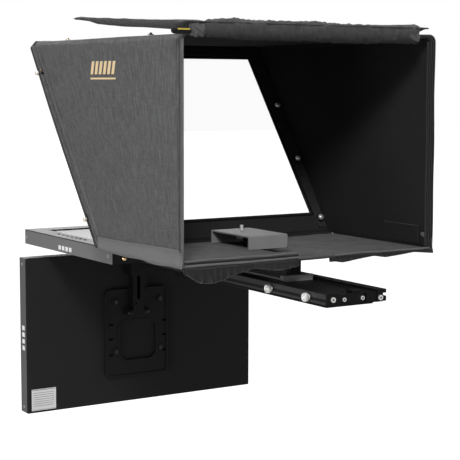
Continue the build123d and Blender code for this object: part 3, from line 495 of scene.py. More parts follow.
def turn_to(piece, direction):
    """Flip a sheet whose faces look away from a direction, so that its thickness goes the right way."""
    if sum(face.normal.dot(direction) for face in piece.data.polygons) < 0:
        piece.data.flip_normals()


def thicken(piece, thickness, offset=-1.0, inner=0, rim=0):
    """Give a sheet its thickness; inner and rim choose the material of its back and its edge."""
    solid = piece.modifiers.new("thickness", "SOLIDIFY")
    solid.thickness, solid.offset = thickness, offset
    solid.use_even_offset = True
    solid.material_offset, solid.material_offset_rim = inner, rim
    even = piece.modifiers.new("even_normals", "WEIGHTED_NORMAL")
    even.keep_sharp = True


def place(piece, body, slot, *replaced):
    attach(piece, body)
    if replaced:
        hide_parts(*replaced)
    return piece


def lathe(profile, axis, centre, segments=32, knurl=None):
    """Points and faces of a turned shape. profile is (distance along axis, radius) from one end to the other.
    knurl is (low, high, depth, count): between those distances the surface has count ridges of that depth."""
    axis, centre = Vector(axis).normalized(), Vector(centre)
    side = axis.cross(Z if abs(axis.z) < 0.9 else X).normalized()
    other = axis.cross(side)
    points, faces = [], []
    for distance, radius in profile:
        for step in range(segments):
            angle = 2 * math.pi * step / segments
            r = radius
            if knurl and knurl[0] <= distance <= knurl[1]:
                r -= knurl[2] * (0.5 - 0.5 * math.cos(angle * knurl[3]))
            out = side * (r * math.cos(angle)) + other * (r * math.sin(angle))
            points.append(centre + axis * distance + out)
    rings = len(profile)
    for ring in range(rings - 1):
        for step in range(segments):
            after = (step + 1) % segments
            faces.append((ring * segments + step, ring * segments + after,
                          (ring + 1) * segments + after, (ring + 1) * segments + step))
    faces.append(tuple(range(segments)))
    faces.append(tuple((rings - 1) * segments + step for step in range(segments)))
    return points, faces


def gather(shapes):
    """Join (points, faces, material index) shapes into one list of each."""
    points, faces, chosen = [], [], []
    for some_points, some_faces, index in shapes:
        start = len(points)
        points += list(some_points)
        faces += [tuple(start + i for i in face) for face in some_faces]
        chosen += [index] * len(some_faces)
    return points, faces, chosen


def box_uv(points):
    """UVs in metres that suit a small piece: each point's X plus Y, and its Z."""
    return [(p[0] + p[1], p[2]) for p in points]


def turned(name, shapes, materials, body, slot, *replaced, sharp=35):
    points, faces, chosen = gather(shapes)
    piece = add_object(name, points, faces, materials, box_uv(points), chosen, math.radians(sharp))
    return place(piece, body, slot, *replaced)


def islands(name):
    """The separate solids of a CAD node, each as an array of its points."""
    mesh = NODES[name].data
    points = np.empty(len(mesh.vertices) * 3)
    mesh.vertices.foreach_get("co", points)
    points = points.reshape(-1, 3)
    keys, same = np.unique(np.round(points, 6), axis=0, return_inverse=True)
    owner = np.arange(len(keys))
    same = same.ravel()

    def root(i):
        while owner[i] != i:
            owner[i] = owner[owner[i]]
            i = owner[i]
        return i

    for face in mesh.polygons:
        first = root(same[face.vertices[0]])
        for vertex in face.vertices[1:]:
            owner[root(same[vertex])] = first
    roots = np.array([root(i) for i in range(len(keys))])
    return [keys[roots == r] for r in np.unique(roots)]


def stitches(name, routes, body, slot="hood_fabric", pitch=0.0046, length=0.0032, width=0.00045):
    """Rows of thread stitches. Each route is (points, outward normals) along a seam."""
    shapes = []
    for path, normals in routes:
        path, normals = np.asarray(path, float), np.asarray(normals, float)
        steps = np.concatenate([[0], np.cumsum(np.linalg.norm(np.diff(path, axis=0), axis=1))])
        places = np.arange(pitch, steps[-1] - pitch, pitch)
        middle = np.stack([np.interp(places, steps, path[:, i]) for i in range(3)], 1)
        ahead = np.stack([np.interp(places + 0.0005, steps, path[:, i]) for i in range(3)], 1)
        out = np.stack([np.interp(places, steps, normals[:, i]) for i in range(3)], 1)
        for centre, tip, normal in zip(middle, ahead, out):
            along = (tip - centre) / np.linalg.norm(tip - centre)
            normal = normal / np.linalg.norm(normal)
            side = np.cross(along, normal)
            ring = [side * width, normal * width * 1.2, -side * width, -normal * width]
            points = [centre - along * length / 2, centre + along * length / 2]
            points += [centre - along * length * 0.28 + r for r in ring]
            points += [centre + along * length * 0.28 + r for r in ring]
            faces = []
            for k in range(4):
                n = (k + 1) % 4
                faces += [(0, 2 + n, 2 + k), (2 + k, 2 + n, 6 + n, 6 + k), (1, 6 + k, 6 + n)]
            shapes.append((points, faces, 0))
    return turned(name, shapes, ["stitching"], body, slot, sharp=80)


# ---------------------------------------------------------------- hood
def hood_section(foot=FOOT):
    """Points (x, z) and outward normals from the left panel's foot, over the top, to the right one's."""
    half, top, r = HALF, TOP, CORNER
    up = np.linspace(foot, top - r, 56)
    turn = np.linspace(0, math.pi / 2, 9)[1:-1]
    across = np.linspace(half - r, r - half, 72)
    x = np.concatenate([np.full(56, half), half - r + r * np.cos(turn), across, r - half - r * np.sin(turn),
                        np.full(56, -half)])
    z = np.concatenate([up, top - r + r * np.sin(turn), np.full(72, top),
                        top - r + r * np.cos(turn), up[::-1]])
    nx = np.concatenate([np.ones(56), np.cos(turn), np.zeros(72), -np.sin(turn), -np.ones(56)])
    nz = np.concatenate([np.zeros(56), np.sin(turn), np.ones(72), np.cos(turn), np.zeros(56)])
    return x, z, nx, nz


def hood_lean(x, z, rear):
    """How far the right panel's rear edge leans out; rear is 0 at the glass and 1 at the rear edge."""
    return (0.0034 - 0.0017 * smooth(z, 0.10, 0.40)) * smooth(-x, 0.15, HALF) * rear ** 1.5


def hood_rise(x, z, rear):
    """How far the hood's upper right corner stands above the left one, at the rear edge."""
    return 0.0050 * smooth(-x, 0.10, 0.24) * smooth(z, 0.28, TOP) * rear


def printed_area(y, z):
    """1 over the printed mark, where the fabric is pressed flat, and 0 away from it."""
    low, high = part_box("side_emblem")
    within_y = smooth(y, low.y - 0.03, low.y - 0.004) * (1 - smooth(y, high.y + 0.004, high.y + 0.03))
    return within_y * smooth(z, low.z - 0.03, low.z - 0.004) * (1 - smooth(z, high.z + 0.004, high.z + 0.03))


def make_hood_cover():
    """Fabric over the side and top boards, in one piece that turns the upper corners."""
    x, z, nx, nz = hood_section()
    share = np.linspace(0, 1, 60)[:, None]
    front = np.array([glass_y(h, 0.0008) for h in z])[None, :]
    y = REAR + (front - REAR) * share
    along = np.concatenate([[0], np.cumsum(np.hypot(np.diff(x), np.diff(z)))])[None, :]
    rear = 1 - share
    side = np.abs(nx)[None, :]
    edge = smooth(share, 0, 0.06) * smooth(1 - share, 0, 0.06)
    low = smooth(z - FOOT, 0, 0.03)[None, :]
    ripple = 0.00045 * waves(along, y, 3, 0.16) + 0.00018 * waves(along, y, 4, 0.035, 3.0)
    sag = -0.0022 * (1 - side) * np.cos(x / HALF * math.pi / 2)[None, :] * np.sin(share * math.pi)
    flat = printed_area(y, z[None, :]) * (x > 0)
    push = ripple * edge * low * (1 - flat) + sag
    points = np.empty((*y.shape, 3))
    points[..., 0] = x[None, :] + nx[None, :] * push - hood_lean(x, z, rear)
    points[..., 1] = y
    points[..., 2] = z[None, :] + nz[None, :] * push + hood_rise(x, z, rear)
    cover = grid("hood_cover", points, ["hood_fabric", "hood_lining"], sharp=80)
    outward = sum(face.normal.x for face in cover.data.polygons if face.center.x > HALF * 0.9)
    if outward < 0:
        cover.data.flip_normals()
    thicken(cover, BOARD, inner=1, rim=0)
    place(cover, "hood", "hood_fabric", "hood_side_left", "hood_side_right", "hood_top")

    # Stitching along the rear hem and the glass.
    routes = []
    for row in (2, len(points) - 3):
        normals = np.stack([nx, np.zeros_like(nx), nz], 1)
        routes.append((points[row] + normals * 0.0003, normals))
    stitches("hood_cover_stitching", routes, "hood")


def tape_profile(lip, wrap):
    """Section of the rear binding as (out from the panel, rearwards). It wraps the edge and turns inwards by
    lip; wrap is 1 for a full rounded edge and less for a thin one."""
    outer = [(0.0001, -0.0096), (0.0009, -0.0092), (0.0010, -0.0026), (0.0016, -0.0021), (0.0019, -0.0006),
             (0.0018, 0.0005 * wrap), (0.0012, 0.0022 * wrap), (-0.0002, 0.0031 * wrap),
             (-0.0012, 0.0033 * wrap)]
    rim = 0.0012 + 0.0010 * wrap
    ribs = [(-rim - lip * step, 0.0029 * wrap + 0.00045 * wrap * math.cos(step * 8 * math.pi))
            for step in np.linspace(0, 1, 17)]
    inner = [(-rim - 0.0004 - lip, 0.0020 * wrap), (-rim - 0.0002 - lip, 0.0008 * wrap),
             (-rim - lip * 0.8, 0.0004 * wrap), (-rim + 0.0004 - lip * 0.1, 0.0003 * wrap),
             (0.0001, 0.0003 * wrap)]
    return np.array(outer + ribs + inner)


def make_rear_binding():
    """Tape round the rear edge of the hood: narrow on the left, turned in as a ribbed lip on the right."""
    x, z, nx, nz = hood_section(foot=FOOT - 0.0006)
    lips = 0.0002 + 0.0016 * smooth(-x, 0.0, 0.2) + 0.0127 * smooth(-x, 0.2300, 0.2440)
    wraps = 0.25 + 0.75 * smooth(-x, -0.236, -0.200)
    profile = np.array([tape_profile(lip, wrap) for lip, wrap in zip(lips, wraps)])
    count = profile.shape[1]
    wobble = waves(z[:, None] + x[:, None], np.zeros((1, count)), 21, 0.12) * 0.00035
    out = profile[..., 0] + wobble * (profile[..., 1] > 0)
    rearwards = profile[..., 1] + wobble
    points = np.empty((len(x), count, 3))
    points[..., 0] = x[:, None] + nx[:, None] * out - hood_lean(x, z, 1.0)[:, None]
    points[..., 1] = REAR + rearwards
    points[..., 2] = z[:, None] + nz[:, None] * out + hood_rise(x, z, 1.0)[:, None]
    # Columns below 3 on the left panel are painted shade in the groove between the panel and the tape.
    dark = [int(x[row] < 0.236 or column < 3) for row in range(len(x) - 1) for column in range(count)]
    dark += [0, 1]
    tape = grid("rear_binding", points, ["binding_tape", "binding_dark_and_shade"], closed=True, caps=True,
                face_materials=dark, sharp=50)
    place(tape, "hood", "binding_tape", "hood_rear_binding")
    normals = np.stack([nx, np.zeros_like(nx), nz], 1)
    row = points[:, 4] + normals * 0.0001 + np.array([0, 0.0010, 0])
    stitches("binding_stitching", [(row, normals)], "hood", "binding_tape", pitch=0.0040, length=0.0028)


def make_front_hems():
    """Hem bands on the side panels along the glass, wider towards the foot, each with a rolled rear edge."""
    for side, name in SIDES:
        z = np.linspace(FOOT + 0.022, TOP - 0.006, 110)[:, None]
        width = 0.0165 - 0.0115 * smooth(z, 0.12, 0.40)
        steps = np.array([0.0, 0.05, 0.5, 0.80, 0.88, 0.94, 1.0])[None, :]
        lift = np.array([0.0001, 0.0006, 0.0007, 0.0008, 0.0014, 0.0013, 0.0001])[None, :]
        front = (GLASS_OFFSET + 0.0006 - z * GLASS_NORMAL.z) / GLASS_NORMAL.y
        y = front + width / GLASS_NORMAL.y * steps
        points = np.empty((*y.shape, 3))
        points[..., 0] = side * (HALF + lift + 0.0002 * waves(y, z, 25, 0.02) * (lift > 0.0002))
        points[..., 1] = y
        points[..., 2] = z
        bands = [int(column > 2) for _ in range(len(z) - 1) for column in range(y.shape[1] - 1)]
        hem = grid(f"front_hem_{name}", points, ["hook_tape", "skirt_fabric"], face_materials=bands)
        turn_to(hem, X * side)
        thicken(hem, 0.0004)
        place(hem, "hood", "hood_fabric")


def make_side_flaps():
    """Small closing flaps sewn inside the foot of each side panel."""
    for side, name in SIDES:
        y = np.linspace(REAR - 0.125, REAR - 0.024, 30)[None, :]
        z = np.linspace(FOOT + 0.004, 0.114, 12)[:, None]
        inner = HALF - BOARD
        lift = 0.0010 + 0.0006 * waves(y, z, 31, 0.05) * smooth(z, 0.074, 0.10)
        points = np.empty((12, 30, 3))
        points[..., 0] = side * (inner - 0.0003 - lift)
        points[..., 1], points[..., 2] = y, z
        lean = hood_lean(np.full(z.shape, side * HALF), z, 0.8)
        points[..., 0] -= lean
        flap = grid(f"inner_flap_{name}", points, ["hood_lining"])
        turn_to(flap, X * -side)
        thicken(flap, 0.0009)
        place(flap, "hood", "hood_lining")
        normals = np.tile([-side, 0, 0], (30, 1))
        raised = points - [side * 0.0003, 0, 0]
        rows = [(raised[-2], normals), (raised[:, -3], normals[:12])]
        stitches(f"inner_flap_{name}_stitching", rows, "hood", "hood_lining", pitch=0.004, length=0.0028)


def opening_edge(row):
    """Half width of the cloth's opening at a distance up the glass; it narrows towards the head."""
    return 0.2244 - 0.0074 * (row - 0.0490) / 0.3605


def make_front_flanges():
    """Cloth flanges behind the glass frame, pulled in slightly at each thumbscrew."""
    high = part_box("hood_front_flange")[1]
    outer = HALF - BOARD - 0.0006
    screws = [p.mean(axis=0) for p in islands("frame_thumbscrews")]
    normal = np.array(GLASS_NORMAL)
    up = np.array(GLASS_UP)
    origin = np.array([0, glass_y(FLOOR), FLOOR])

    def panel(name, xs, rows, seed):
        flat = origin + xs[..., None] * [1, 0, 0] + rows[..., None] * up + 0.0003 * normal
        rise = 0.0006 + 0.0006 * (waves(xs, rows, seed, 0.05, 2.0) + 1)
        for screw in screws:
            near = np.linalg.norm(flat - screw, axis=2)
            rise = rise * smooth(near, 0.007, 0.024) + 0.0001
        points = flat + rise[..., None] * normal
        made = grid(name, points, ["flange_cloth"])
        turn_to(made, Y)
        thicken(made, 0.0009, offset=1.0)
        return place(made, "hood", "hood_lining")

    foot, over_foot = 0.0120, 0.4115
    head = (high.z - FLOOR) / GLASS_UP.z - 0.002
    share, rows = np.meshgrid(np.linspace(0, 1, 12), np.linspace(foot, head, 120))
    edge = opening_edge(rows)
    left = panel("front_flange_left", edge + (outer - edge) * share, rows, 41)
    right = panel("front_flange_right", -outer + (outer - edge) * share, rows, 42)
    half = opening_edge(head) - 0.001
    xs, rows = np.meshgrid(np.linspace(-half, half, 90), np.linspace(over_foot, head, 9))
    over = panel("front_flange_top", xs, rows, 43)
    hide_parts("hood_front_flange")


def frame_edge(side):
    """Distance up the glass and X of the frame's outer edge on one side, from the foot to the head."""
    mesh = NODES["glass_frame_left" if side > 0 else "glass_frame_right"].data
    found = {}
    for vertex in mesh.vertices:
        up = round(GLASS_UP.dot(vertex.co - Vector((0, glass_y(FLOOR), FLOOR))), 4)
        found[up] = max(found.get(up, 0.0), side * vertex.co.x)
    ups = sorted(up for up in found if found[up] > 0.2420)
    return np.array(ups), np.array([found[up] for up in ups])


def make_hook_strips():
    """Hook tape on the rear face of the frame, outside the hood panels."""
    rows = np.linspace(0.070, 0.430, 90)
    for side, name in SIDES:
        edge = np.interp(rows, *frame_edge(side)) - 0.0003
        start = HALF + 0.0003
        share = np.array([0.0, 0.12, 0.5, 0.88, 1.0])
        across = side * (start + (edge[:, None] - start) * share[None, :])
        height = np.array([0.0002, 0.0012, 0.0015, 0.0012, 0.0002])
        origin = np.array([0, glass_y(FLOOR), FLOOR])
        ripple = 1 + 0.15 * waves(rows[:, None], across, 51, 0.03)
        points = (origin + rows[:, None, None] * np.array(GLASS_UP) + across[..., None] * np.array([1, 0, 0])
                  + (height[None, :] * ripple)[..., None] * np.array(GLASS_NORMAL))
        strip = grid(f"hook_strip_{name}", points, ["hook_tape"], closed=True, caps=True)
        place(strip, "hood", "binding_tape")


def make_skirts():
    """Strips sewn round the foot of the side panels; they flare a little towards their lower edge."""
    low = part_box("hood_skirts")[0]
    for side, name in SIDES:
        share = np.linspace(0, 1, 16)[:, None]
        y = np.linspace(0.0425, 0.3335, 110)[None, :]
        upper = 0.0945 + 0.0055 * smooth(y, 0.05, 0.32) - 0.009 * smooth(y, 0.318, 0.333)
        lower = low.z + 0.0012 * waves(y, y * 0, 61, 0.09)
        z = upper + (lower - upper) * share
        y = y + 0.004 * share * (1 - smooth(y, 0.04, 0.07)) * np.ones_like(z)
        out = 0.0006 + 0.0016 * share ** 1.5 + 0.0005 * waves(y, z, 62, 0.07) * share
        points = np.empty((*z.shape, 3))
        points[..., 0] = side * (HALF + out)
        points[..., 1], points[..., 2] = y, z
        skirt = grid(f"skirt_{name}", points, ["skirt_fabric"])
        turn_to(skirt, X * side)
        thicken(skirt, 0.0013, offset=1.0)
        place(skirt, "hood", "hood_fabric")
        if side > 0:
            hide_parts("hood_skirts")
        normals = np.tile([side, 0, 0], (110, 1))
        rows = [(points[row] + [side * 0.0016, 0, 0], normals) for row in (1, 13)]
        stitches(f"skirt_{name}_stitching", rows, "hood")


def make_floor():
    """Cloth-covered floor with a slot for the sled's riser, a fold across it and soft wrinkles."""
    low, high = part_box("hood_floor")
    slot = 0.0135
    slot_front, slot_rear = 0.112, 0.240
    x = np.unique(np.concatenate([np.linspace(low.x, -slot, 60), np.linspace(-slot, slot, 8),
                                  np.linspace(slot, high.x, 60)]))
    y = np.unique(np.concatenate([np.linspace(low.y, slot_front, 16), np.linspace(slot_front, slot_rear, 30),
                                  np.linspace(slot_rear, high.y, 24)]))
    xs, ys = np.meshgrid(x, y)
    aside = smooth(np.abs(xs), 0.045, 0.075)
    clear = aside + (1 - aside) * smooth(ys, 0.262, 0.285)
    wrinkle = 0.0010 * waves(xs, ys, 71, 0.13, 0.7) + 0.0005 * waves(xs, ys, 72, 0.035, 0.5)
    fold = 0.0016 * np.exp(-((ys - 0.296 + 0.10 * (xs + 0.05) ** 2) / 0.0035) ** 2)
    fold += 0.0014 * np.exp(-(((ys - 0.19) + 0.55 * (xs + 0.12)) / 0.004) ** 2) * smooth(-xs, 0.06, 0.1)
    z = high.z + (wrinkle + fold - 0.0002) * clear * smooth(HALF - np.abs(xs), 0.002, 0.03)
    points = np.stack([xs, ys, z], 2)

    def in_slot(row, column):
        middle_x, middle_y = (x[column] + x[column + 1]) / 2, (y[row] + y[row + 1]) / 2
        return slot_front <= middle_y <= slot_rear and abs(middle_x) < slot

    cloth = grid("floor_cloth", points, ["floor_cloth"], hole=in_slot)
    turn_to(cloth, Z)
    thicken(cloth, 0.0032)
    place(cloth, "base", "hood_lining", "hood_floor")
    rim_x = [slot + 0.003, slot + 0.003, -slot - 0.003, -slot - 0.003, slot + 0.003]
    rim_y = [slot_front - 0.003, slot_rear + 0.003, slot_rear + 0.003, slot_front - 0.003, slot_front - 0.003]
    rim = np.stack([rim_x, rim_y, np.full(5, high.z + 0.0001)], 1)
    up = np.tile([0, 0, 1], (5, 1))
    hem = np.stack([x, np.full(len(x), REAR - 0.006), z[-2] + 0.0002], 1)
    stitches("floor_stitching", [(rim, up), (hem, np.tile([0, 0, 1], (len(x), 1)))], "base", "hood_lining")


def make_floor_tuck():
    """Cloth that closes the gap between the floor's front edge and the foot of the glass frame."""
    x = np.linspace(-HALF + 0.0035, HALF - 0.0035, 120)[None, :]
    share = np.linspace(0, 1, 9)[:, None]
    front = glass_y(FLOOR + 0.0066) + 0.0014
    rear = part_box("hood_floor")[0].y + 0.004
    y = rear + (front - rear) * share
    z = FLOOR + 0.0008 + 0.0058 * share ** 2 + 0.0004 * waves(x, y, 77, 0.05)
    tuck = grid("floor_tuck", np.stack([x + 0 * y, y + 0 * x, z], 2), ["hood_lining"])
    turn_to(tuck, Z)
    thicken(tuck, 0.0008)
    place(tuck, "base", "hood_lining")


def valance_drop(x):
    """Lower edge of the valances: two hanging lengths of cloth with a scalloped hem."""
    left = [(0.2465, 0.0640), (0.2370, 0.0590), (0.2210, 0.0480), (0.1920, 0.0460), (0.1550, 0.0570),
            (0.1170, 0.0645), (0.0790, 0.0590), (0.0550, 0.0590), (0.0310, 0.0620)]
    right = [(-0.0420, 0.0650), (-0.0570, 0.0620), (-0.0920, 0.0660), (-0.1240, 0.0690), (-0.1470, 0.0650),
             (-0.1770, 0.0670), (-0.2100, 0.0700), (-0.2530, 0.0655)]
    table = sorted(left + right)
    places, drops = zip(*table)
    dense = np.interp(np.linspace(places[0], places[-1], 900), places, drops)
    kernel = np.hanning(31) / np.hanning(31).sum()
    dense = np.convolve(np.pad(dense, 15, mode="edge"), kernel, mode="valid")
    return np.interp(x, np.linspace(places[0], places[-1], 900), dense)


def make_valances():
    """Cloth that hangs from the floor's rear edge, fuller and more rippled towards its hem."""
    back = REAR + 0.0007
    spans = (("valance_left", 0.2465, 0.031, 81), ("valance_right", -0.031, -0.2525, 82))
    for name, start, end, seed in spans:
        x = np.linspace(start, end, 160)[None, :]
        share = np.linspace(0, 1, 26)[:, None]
        bottom = valance_drop(x)
        z = FLOOR - 0.0012 + (bottom - FLOOR + 0.0012) * share
        depth = (FLOOR - bottom) / 0.028
        ripple = 0.0024 * np.sin(2 * math.pi * x / 0.024 + 1.5 * waves(x, z * 0, seed, 0.1))
        ripple = ripple + 0.0012 * waves(x, z, seed + 5, 0.018, 2.5)
        fall = 0.0035 * share * depth
        y = back + fall + np.abs(ripple * depth * share ** 1.3)
        points = np.stack([x + 0 * z, y + 0 * z, z], 2)
        cloth = grid(name, points, ["valance_fabric"])
        turn_to(cloth, Y)
        thicken(cloth, 0.0014, offset=1.0)
        place(cloth, "base", "hood_fabric")
        if name == "valance_left":
            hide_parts("valances")
        normals = np.tile([0, 1, 0], (160, 1))
        rows = [(points[row] + [0, 0.0017, 0], normals) for row in (2, 24)]
        stitches(f"{name}_stitching", rows, "base")


def make_floor_hems():
    """Rolled hems along the floor's rear edge, above each valance."""
    left = ((0.0022, 0.0017, 0.0019, "binding_tape"), (0.0012, 0.0054, 0.0020, "binding_dark_and_shade"),
            (0.0004, 0.0090, 0.0017, "binding_tape"))
    right = ((0.0020, 0.0012, 0.0016, "binding_tape"), (0.0022, -0.0022, 0.0014, "binding_dark_and_shade"))
    for name, start, end, rolls in (("left", 0.2440, 0.031, left), ("right", -0.0415, -0.2440, right)):
        for index, (rearwards, height, radius, cloth) in enumerate(rolls):
            x = np.linspace(start, end, 90)
            turn = np.linspace(0, 2 * math.pi, 13)[:-1]
            lift = 0.0004 * waves(x, x * 0, 91 + index, 0.08)
            points = np.empty((90, 12, 3))
            points[..., 0] = x[:, None]
            points[..., 1] = REAR + rearwards + radius * np.cos(turn)[None, :]
            points[..., 2] = FLOOR + height + lift[:, None] + radius * np.sin(turn)[None, :]
            hem = grid(f"floor_hem_{name}_{index + 1}", points, [cloth], closed=True, caps=True)
            place(hem, "base", "binding_tape")


# ---------------------------------------------------------------- rear curtain
def curtain_profile(y):
    """Lower and upper height of the folded curtain over the hood's top. It stays low beside the roll, so that
    it clears the roll when it is flipped down."""
    profile = [(-0.050, 0.4665, 0.4700), (-0.030, 0.4655, 0.4707), (0.010, 0.4618, 0.4675),
               (0.041, 0.4560, 0.4655), (0.089, 0.4520, 0.4630), (0.139, 0.4490, 0.4605),
               (0.182, 0.4465, 0.4585), (0.227, 0.4440, 0.4562), (0.255, 0.4425, 0.4550),
               (0.300, 0.4425, 0.4535), (0.317, 0.4455, 0.4512), (0.333, 0.4486, 0.4512),
               (0.343, 0.4486, 0.4512)]
    places, lower, upper = zip(*profile)
    return np.interp(y, places, lower), np.interp(y, places, upper)


def fold_top(x):
    """Height of the roll's crown, which is uneven along its length."""
    crown = [(-0.243, 0.4580), (-0.226, 0.4600), (-0.218, 0.4580), (-0.175, 0.4535), (-0.130, 0.4525),
             (-0.058, 0.4535), (0.0115, 0.4560), (0.033, 0.4555), (0.137, 0.4550), (0.150, 0.4572),
             (0.182, 0.4565), (0.213, 0.4535), (0.246, 0.4525)]
    places, tops = zip(*crown)
    return np.interp(x, places, tops)


def make_curtain():
    """The rear curtain, folded double and thrown forward over the top of the hood."""
    body_y = np.linspace(-0.050, 0.3395, 90)
    nose = np.linspace(0, math.pi / 2, 8)[1:]
    y = np.concatenate([body_y, 0.3395 + 0.0025 * np.sin(nose)])
    pinch = np.concatenate([np.ones(90), np.cos(nose)])
    pinch[0], pinch[1] = 0.25, 0.75
    half = 0.245
    count = 70
    across = np.linspace(-half, half, count)
    steps = np.arange(1, 6) / 6
    edge_x = half + 0.0012 * np.sin(math.pi * steps)
    edge_t = 1 - steps
    x_ring = np.concatenate([across, edge_x, across[::-1], -edge_x[::-1]])
    t_ring = np.concatenate([np.ones(count), edge_t, np.zeros(count), edge_t[::-1]])
    xs, ys = np.meshgrid(x_ring, y)
    lower, upper = curtain_profile(ys)
    rear = smooth(ys, 0.318, 0.338)
    inside = smooth(half - np.abs(xs), 0.0, 0.05)
    rolls = 0.0018 * waves(xs, ys, 101, 0.10, 0.6) + 0.0009 * waves(xs, ys, 102, 0.04, 0.5)
    soft = smooth(0.304 - ys, 0.0, 0.05) * inside
    droop = -0.0015 * inside * (1 - rear)
    upper = upper + (rolls + droop) * soft
    lower = lower + (0.0010 * waves(xs, ys, 103, 0.12) + droop) * soft
    right = smooth(-xs, 0.10, 0.24)
    lift = right * 0.004 * smooth(ys, 0.20, 0.27) * (1 - smooth(ys, 0.285, 0.308))
    middle = (upper + lower) / 2
    thick = (upper - lower) * pinch[:, None]
    z = middle + (t_ring[None, :] - 0.5) * thick + lift
    reach = np.interp(ys, [0.230, 0.330], [half, half - 0.019])
    xs = np.where(xs < 0, xs * reach / half, xs)
    points = np.stack([xs, ys, z], 2)
    curtain = grid("rear_curtain_folded", points, ["curtain_fabric"], closed=True, caps=True, sharp=60)
    place(curtain, "curtain", "curtain_fabric", "rear_curtain")

    # Edge hems: a row of stitches along each free edge and one across the front.
    routes = []
    for sign in (1, -1):
        edge = np.stack([np.full(90, sign * (half - 0.004)), body_y, np.zeros(90)], 1)
        column = np.argmin(np.abs(x_ring[:count] - sign * (half - 0.004)))
        edge[:, 2] = z[:90, column] + 0.0003
        routes.append((edge[3:-6], np.tile([0, 0, 1], (81, 1))))
    front = np.stack([across[2:-2], np.full(count - 4, body_y[3]), z[3, 2:count - 2] + 0.0003], 1)
    routes.append((front, np.tile([0, 0, 1], (count - 4, 1))))
    stitches("curtain_stitching", routes, "curtain", "curtain_fabric")


def crumpled_end(name, start, end, centre, radii, seed, tilt=0.0):
    """A short crushed length of lining that pokes out of the roll, between two X places."""
    x = np.linspace(start, end, 34)
    turn = np.linspace(0, 2 * math.pi, 33)[:-1]
    xs, angle = np.meshgrid(x, turn, indexing="ij")
    share = (x[0] - xs) / (x[0] - x[-1])
    pleats = np.abs(np.sin(angle * 3.5 + 6 * share + seed))
    folds = 1 - 0.30 * pleats + 0.10 * waves(xs, angle * 0.004, seed, 0.007)
    ends = np.sqrt(np.clip(1 - (2 * share - 1) ** 6, 0.08, 1))
    y = centre[0] + radii[0] * np.cos(angle) * folds * ends
    z = centre[1] + tilt * (share - 0.5) + radii[1] * np.sin(angle) * folds * ends
    piece = grid(name, np.stack([xs, y, z], 2), ["crumpled_lining"], closed=True, caps=True, sharp=60)
    return place(piece, "hood", "binding_tape")


def make_roll():
    """The curtain's sewn head, rolled along the rear edge of the top, with crumpled ends and a tab."""
    low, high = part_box("curtain_roll")
    left, right = 0.2140, -0.2080
    x = np.linspace(left, right, 150)
    turn = np.linspace(0, 2 * math.pi, 33)[:-1]
    middle_y, middle_z = (low.y + high.y) / 2, (low.z + high.z) / 2
    half_y, half_z = (high.y - low.y) / 2, (high.z - low.z) / 2
    xs, angle = np.meshgrid(x, turn, indexing="ij")
    power = 0.85
    cos, sin = np.cos(angle), np.sin(angle)
    out_y = np.sign(cos) * np.abs(cos) ** power
    out_z = np.sign(sin) * np.abs(sin) ** power
    belly = 0.97 + 0.03 * waves(xs, angle * 0.02, 111, 0.05)
    crease = 1 - 0.10 * np.exp(-((angle - 0.35 - 0.15 * waves(xs, xs * 0, 112, 0.2)) / 0.12) ** 2)
    lower_edge = 0.0028 * (1 - smooth(-xs, -0.20, -0.09)) + 0.0006 * waves(xs, xs * 0, 113, 0.12)
    ends = np.minimum(smooth(left - xs, -0.003, 0.008), smooth(xs - right, -0.003, 0.008))
    lumps = 0.0010 * (waves(xs, angle * 0.012, 115, 0.020) - 1.0) * (out_y > 0)
    y = middle_y + half_y * out_y * np.minimum(belly * crease, 1.0) * (0.6 + 0.4 * ends) + lumps
    crown = fold_top(xs) - middle_z
    z = middle_z + np.where(out_z > 0, crown, half_z) * out_z * (0.75 + 0.25 * ends)
    z = z + lower_edge * (out_z < 0) * np.abs(out_z) + 0.0008 * waves(xs, angle * 0.01, 114, 0.014)
    points = np.stack([xs, y, z], 2)
    roll = grid("curtain_roll_cloth", points, ["roll_fabric_painted_shade"], closed=True, caps=True, sharp=70)
    place(roll, "hood", "curtain_fabric", "curtain_roll")
    left_end, right_end = (middle_y - 0.0006, 0.4385), (middle_y + 0.0002, 0.4340)
    crumpled_end("curtain_end_left", 0.2400, 0.2105, left_end, (0.0058, 0.0122), 3, -0.0015)
    crumpled_end("curtain_end_right", -0.1850, -0.2095, right_end, (0.0054, 0.0090), 5, 0.0010)

    # Woven tab, folded round the corner, with one plain yellow stripe.
    low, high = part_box("curtain_tab")
    turn = np.linspace(0, 2 * math.pi, 17)[:-1]
    x = np.linspace(high.x + 0.006, low.x + 0.004, 24)
    xs, angle = np.meshgrid(x, turn, indexing="ij")
    ends = np.sqrt(np.clip(1 - ((xs - x.mean()) / (x[0] - x.mean() + 0.0002)) ** 6, 0.02, 1))
    y = (low.y + high.y) / 2 + 0.0004 + (high.y - low.y) / 2 * 1.15 * np.cos(angle) * ends
    z = (low.z + high.z) / 2 - 0.0014 + (high.z - low.z) / 2 * 0.82 * np.sin(angle) * ends
    tab = grid("curtain_tab_loop", np.stack([xs, y, z], 2), ["tab_cloth"], closed=True, caps=True)
    place(tab, "hood", "tab_cloth", "curtain_tab")
    face_y = (low.y + high.y) / 2 + (high.y - low.y) / 2 * 1.15 + 0.0005
    stripe = block((low.x + 0.010, face_y - 0.0003, 0.4372), (high.x - 0.003, face_y + 0.0002, 0.4392))
    turned("curtain_tab_stripe", [stripe], ["tab_mark"], "hood", "gold_print")


def block(low, high, index=0):
    """A rectangular plate between two corners, as (points, faces, material index)."""
    (x0, y0, z0), (x1, y1, z1) = low, high
    points = [(x, y, z) for x in (x0, x1) for y in (y0, y1) for z in (z0, z1)]
    faces = [(0, 1, 3, 2), (4, 6, 7, 5), (0, 4, 5, 1), (2, 3, 7, 6), (0, 2, 6, 4), (1, 5, 7, 3)]
    return points, faces, index


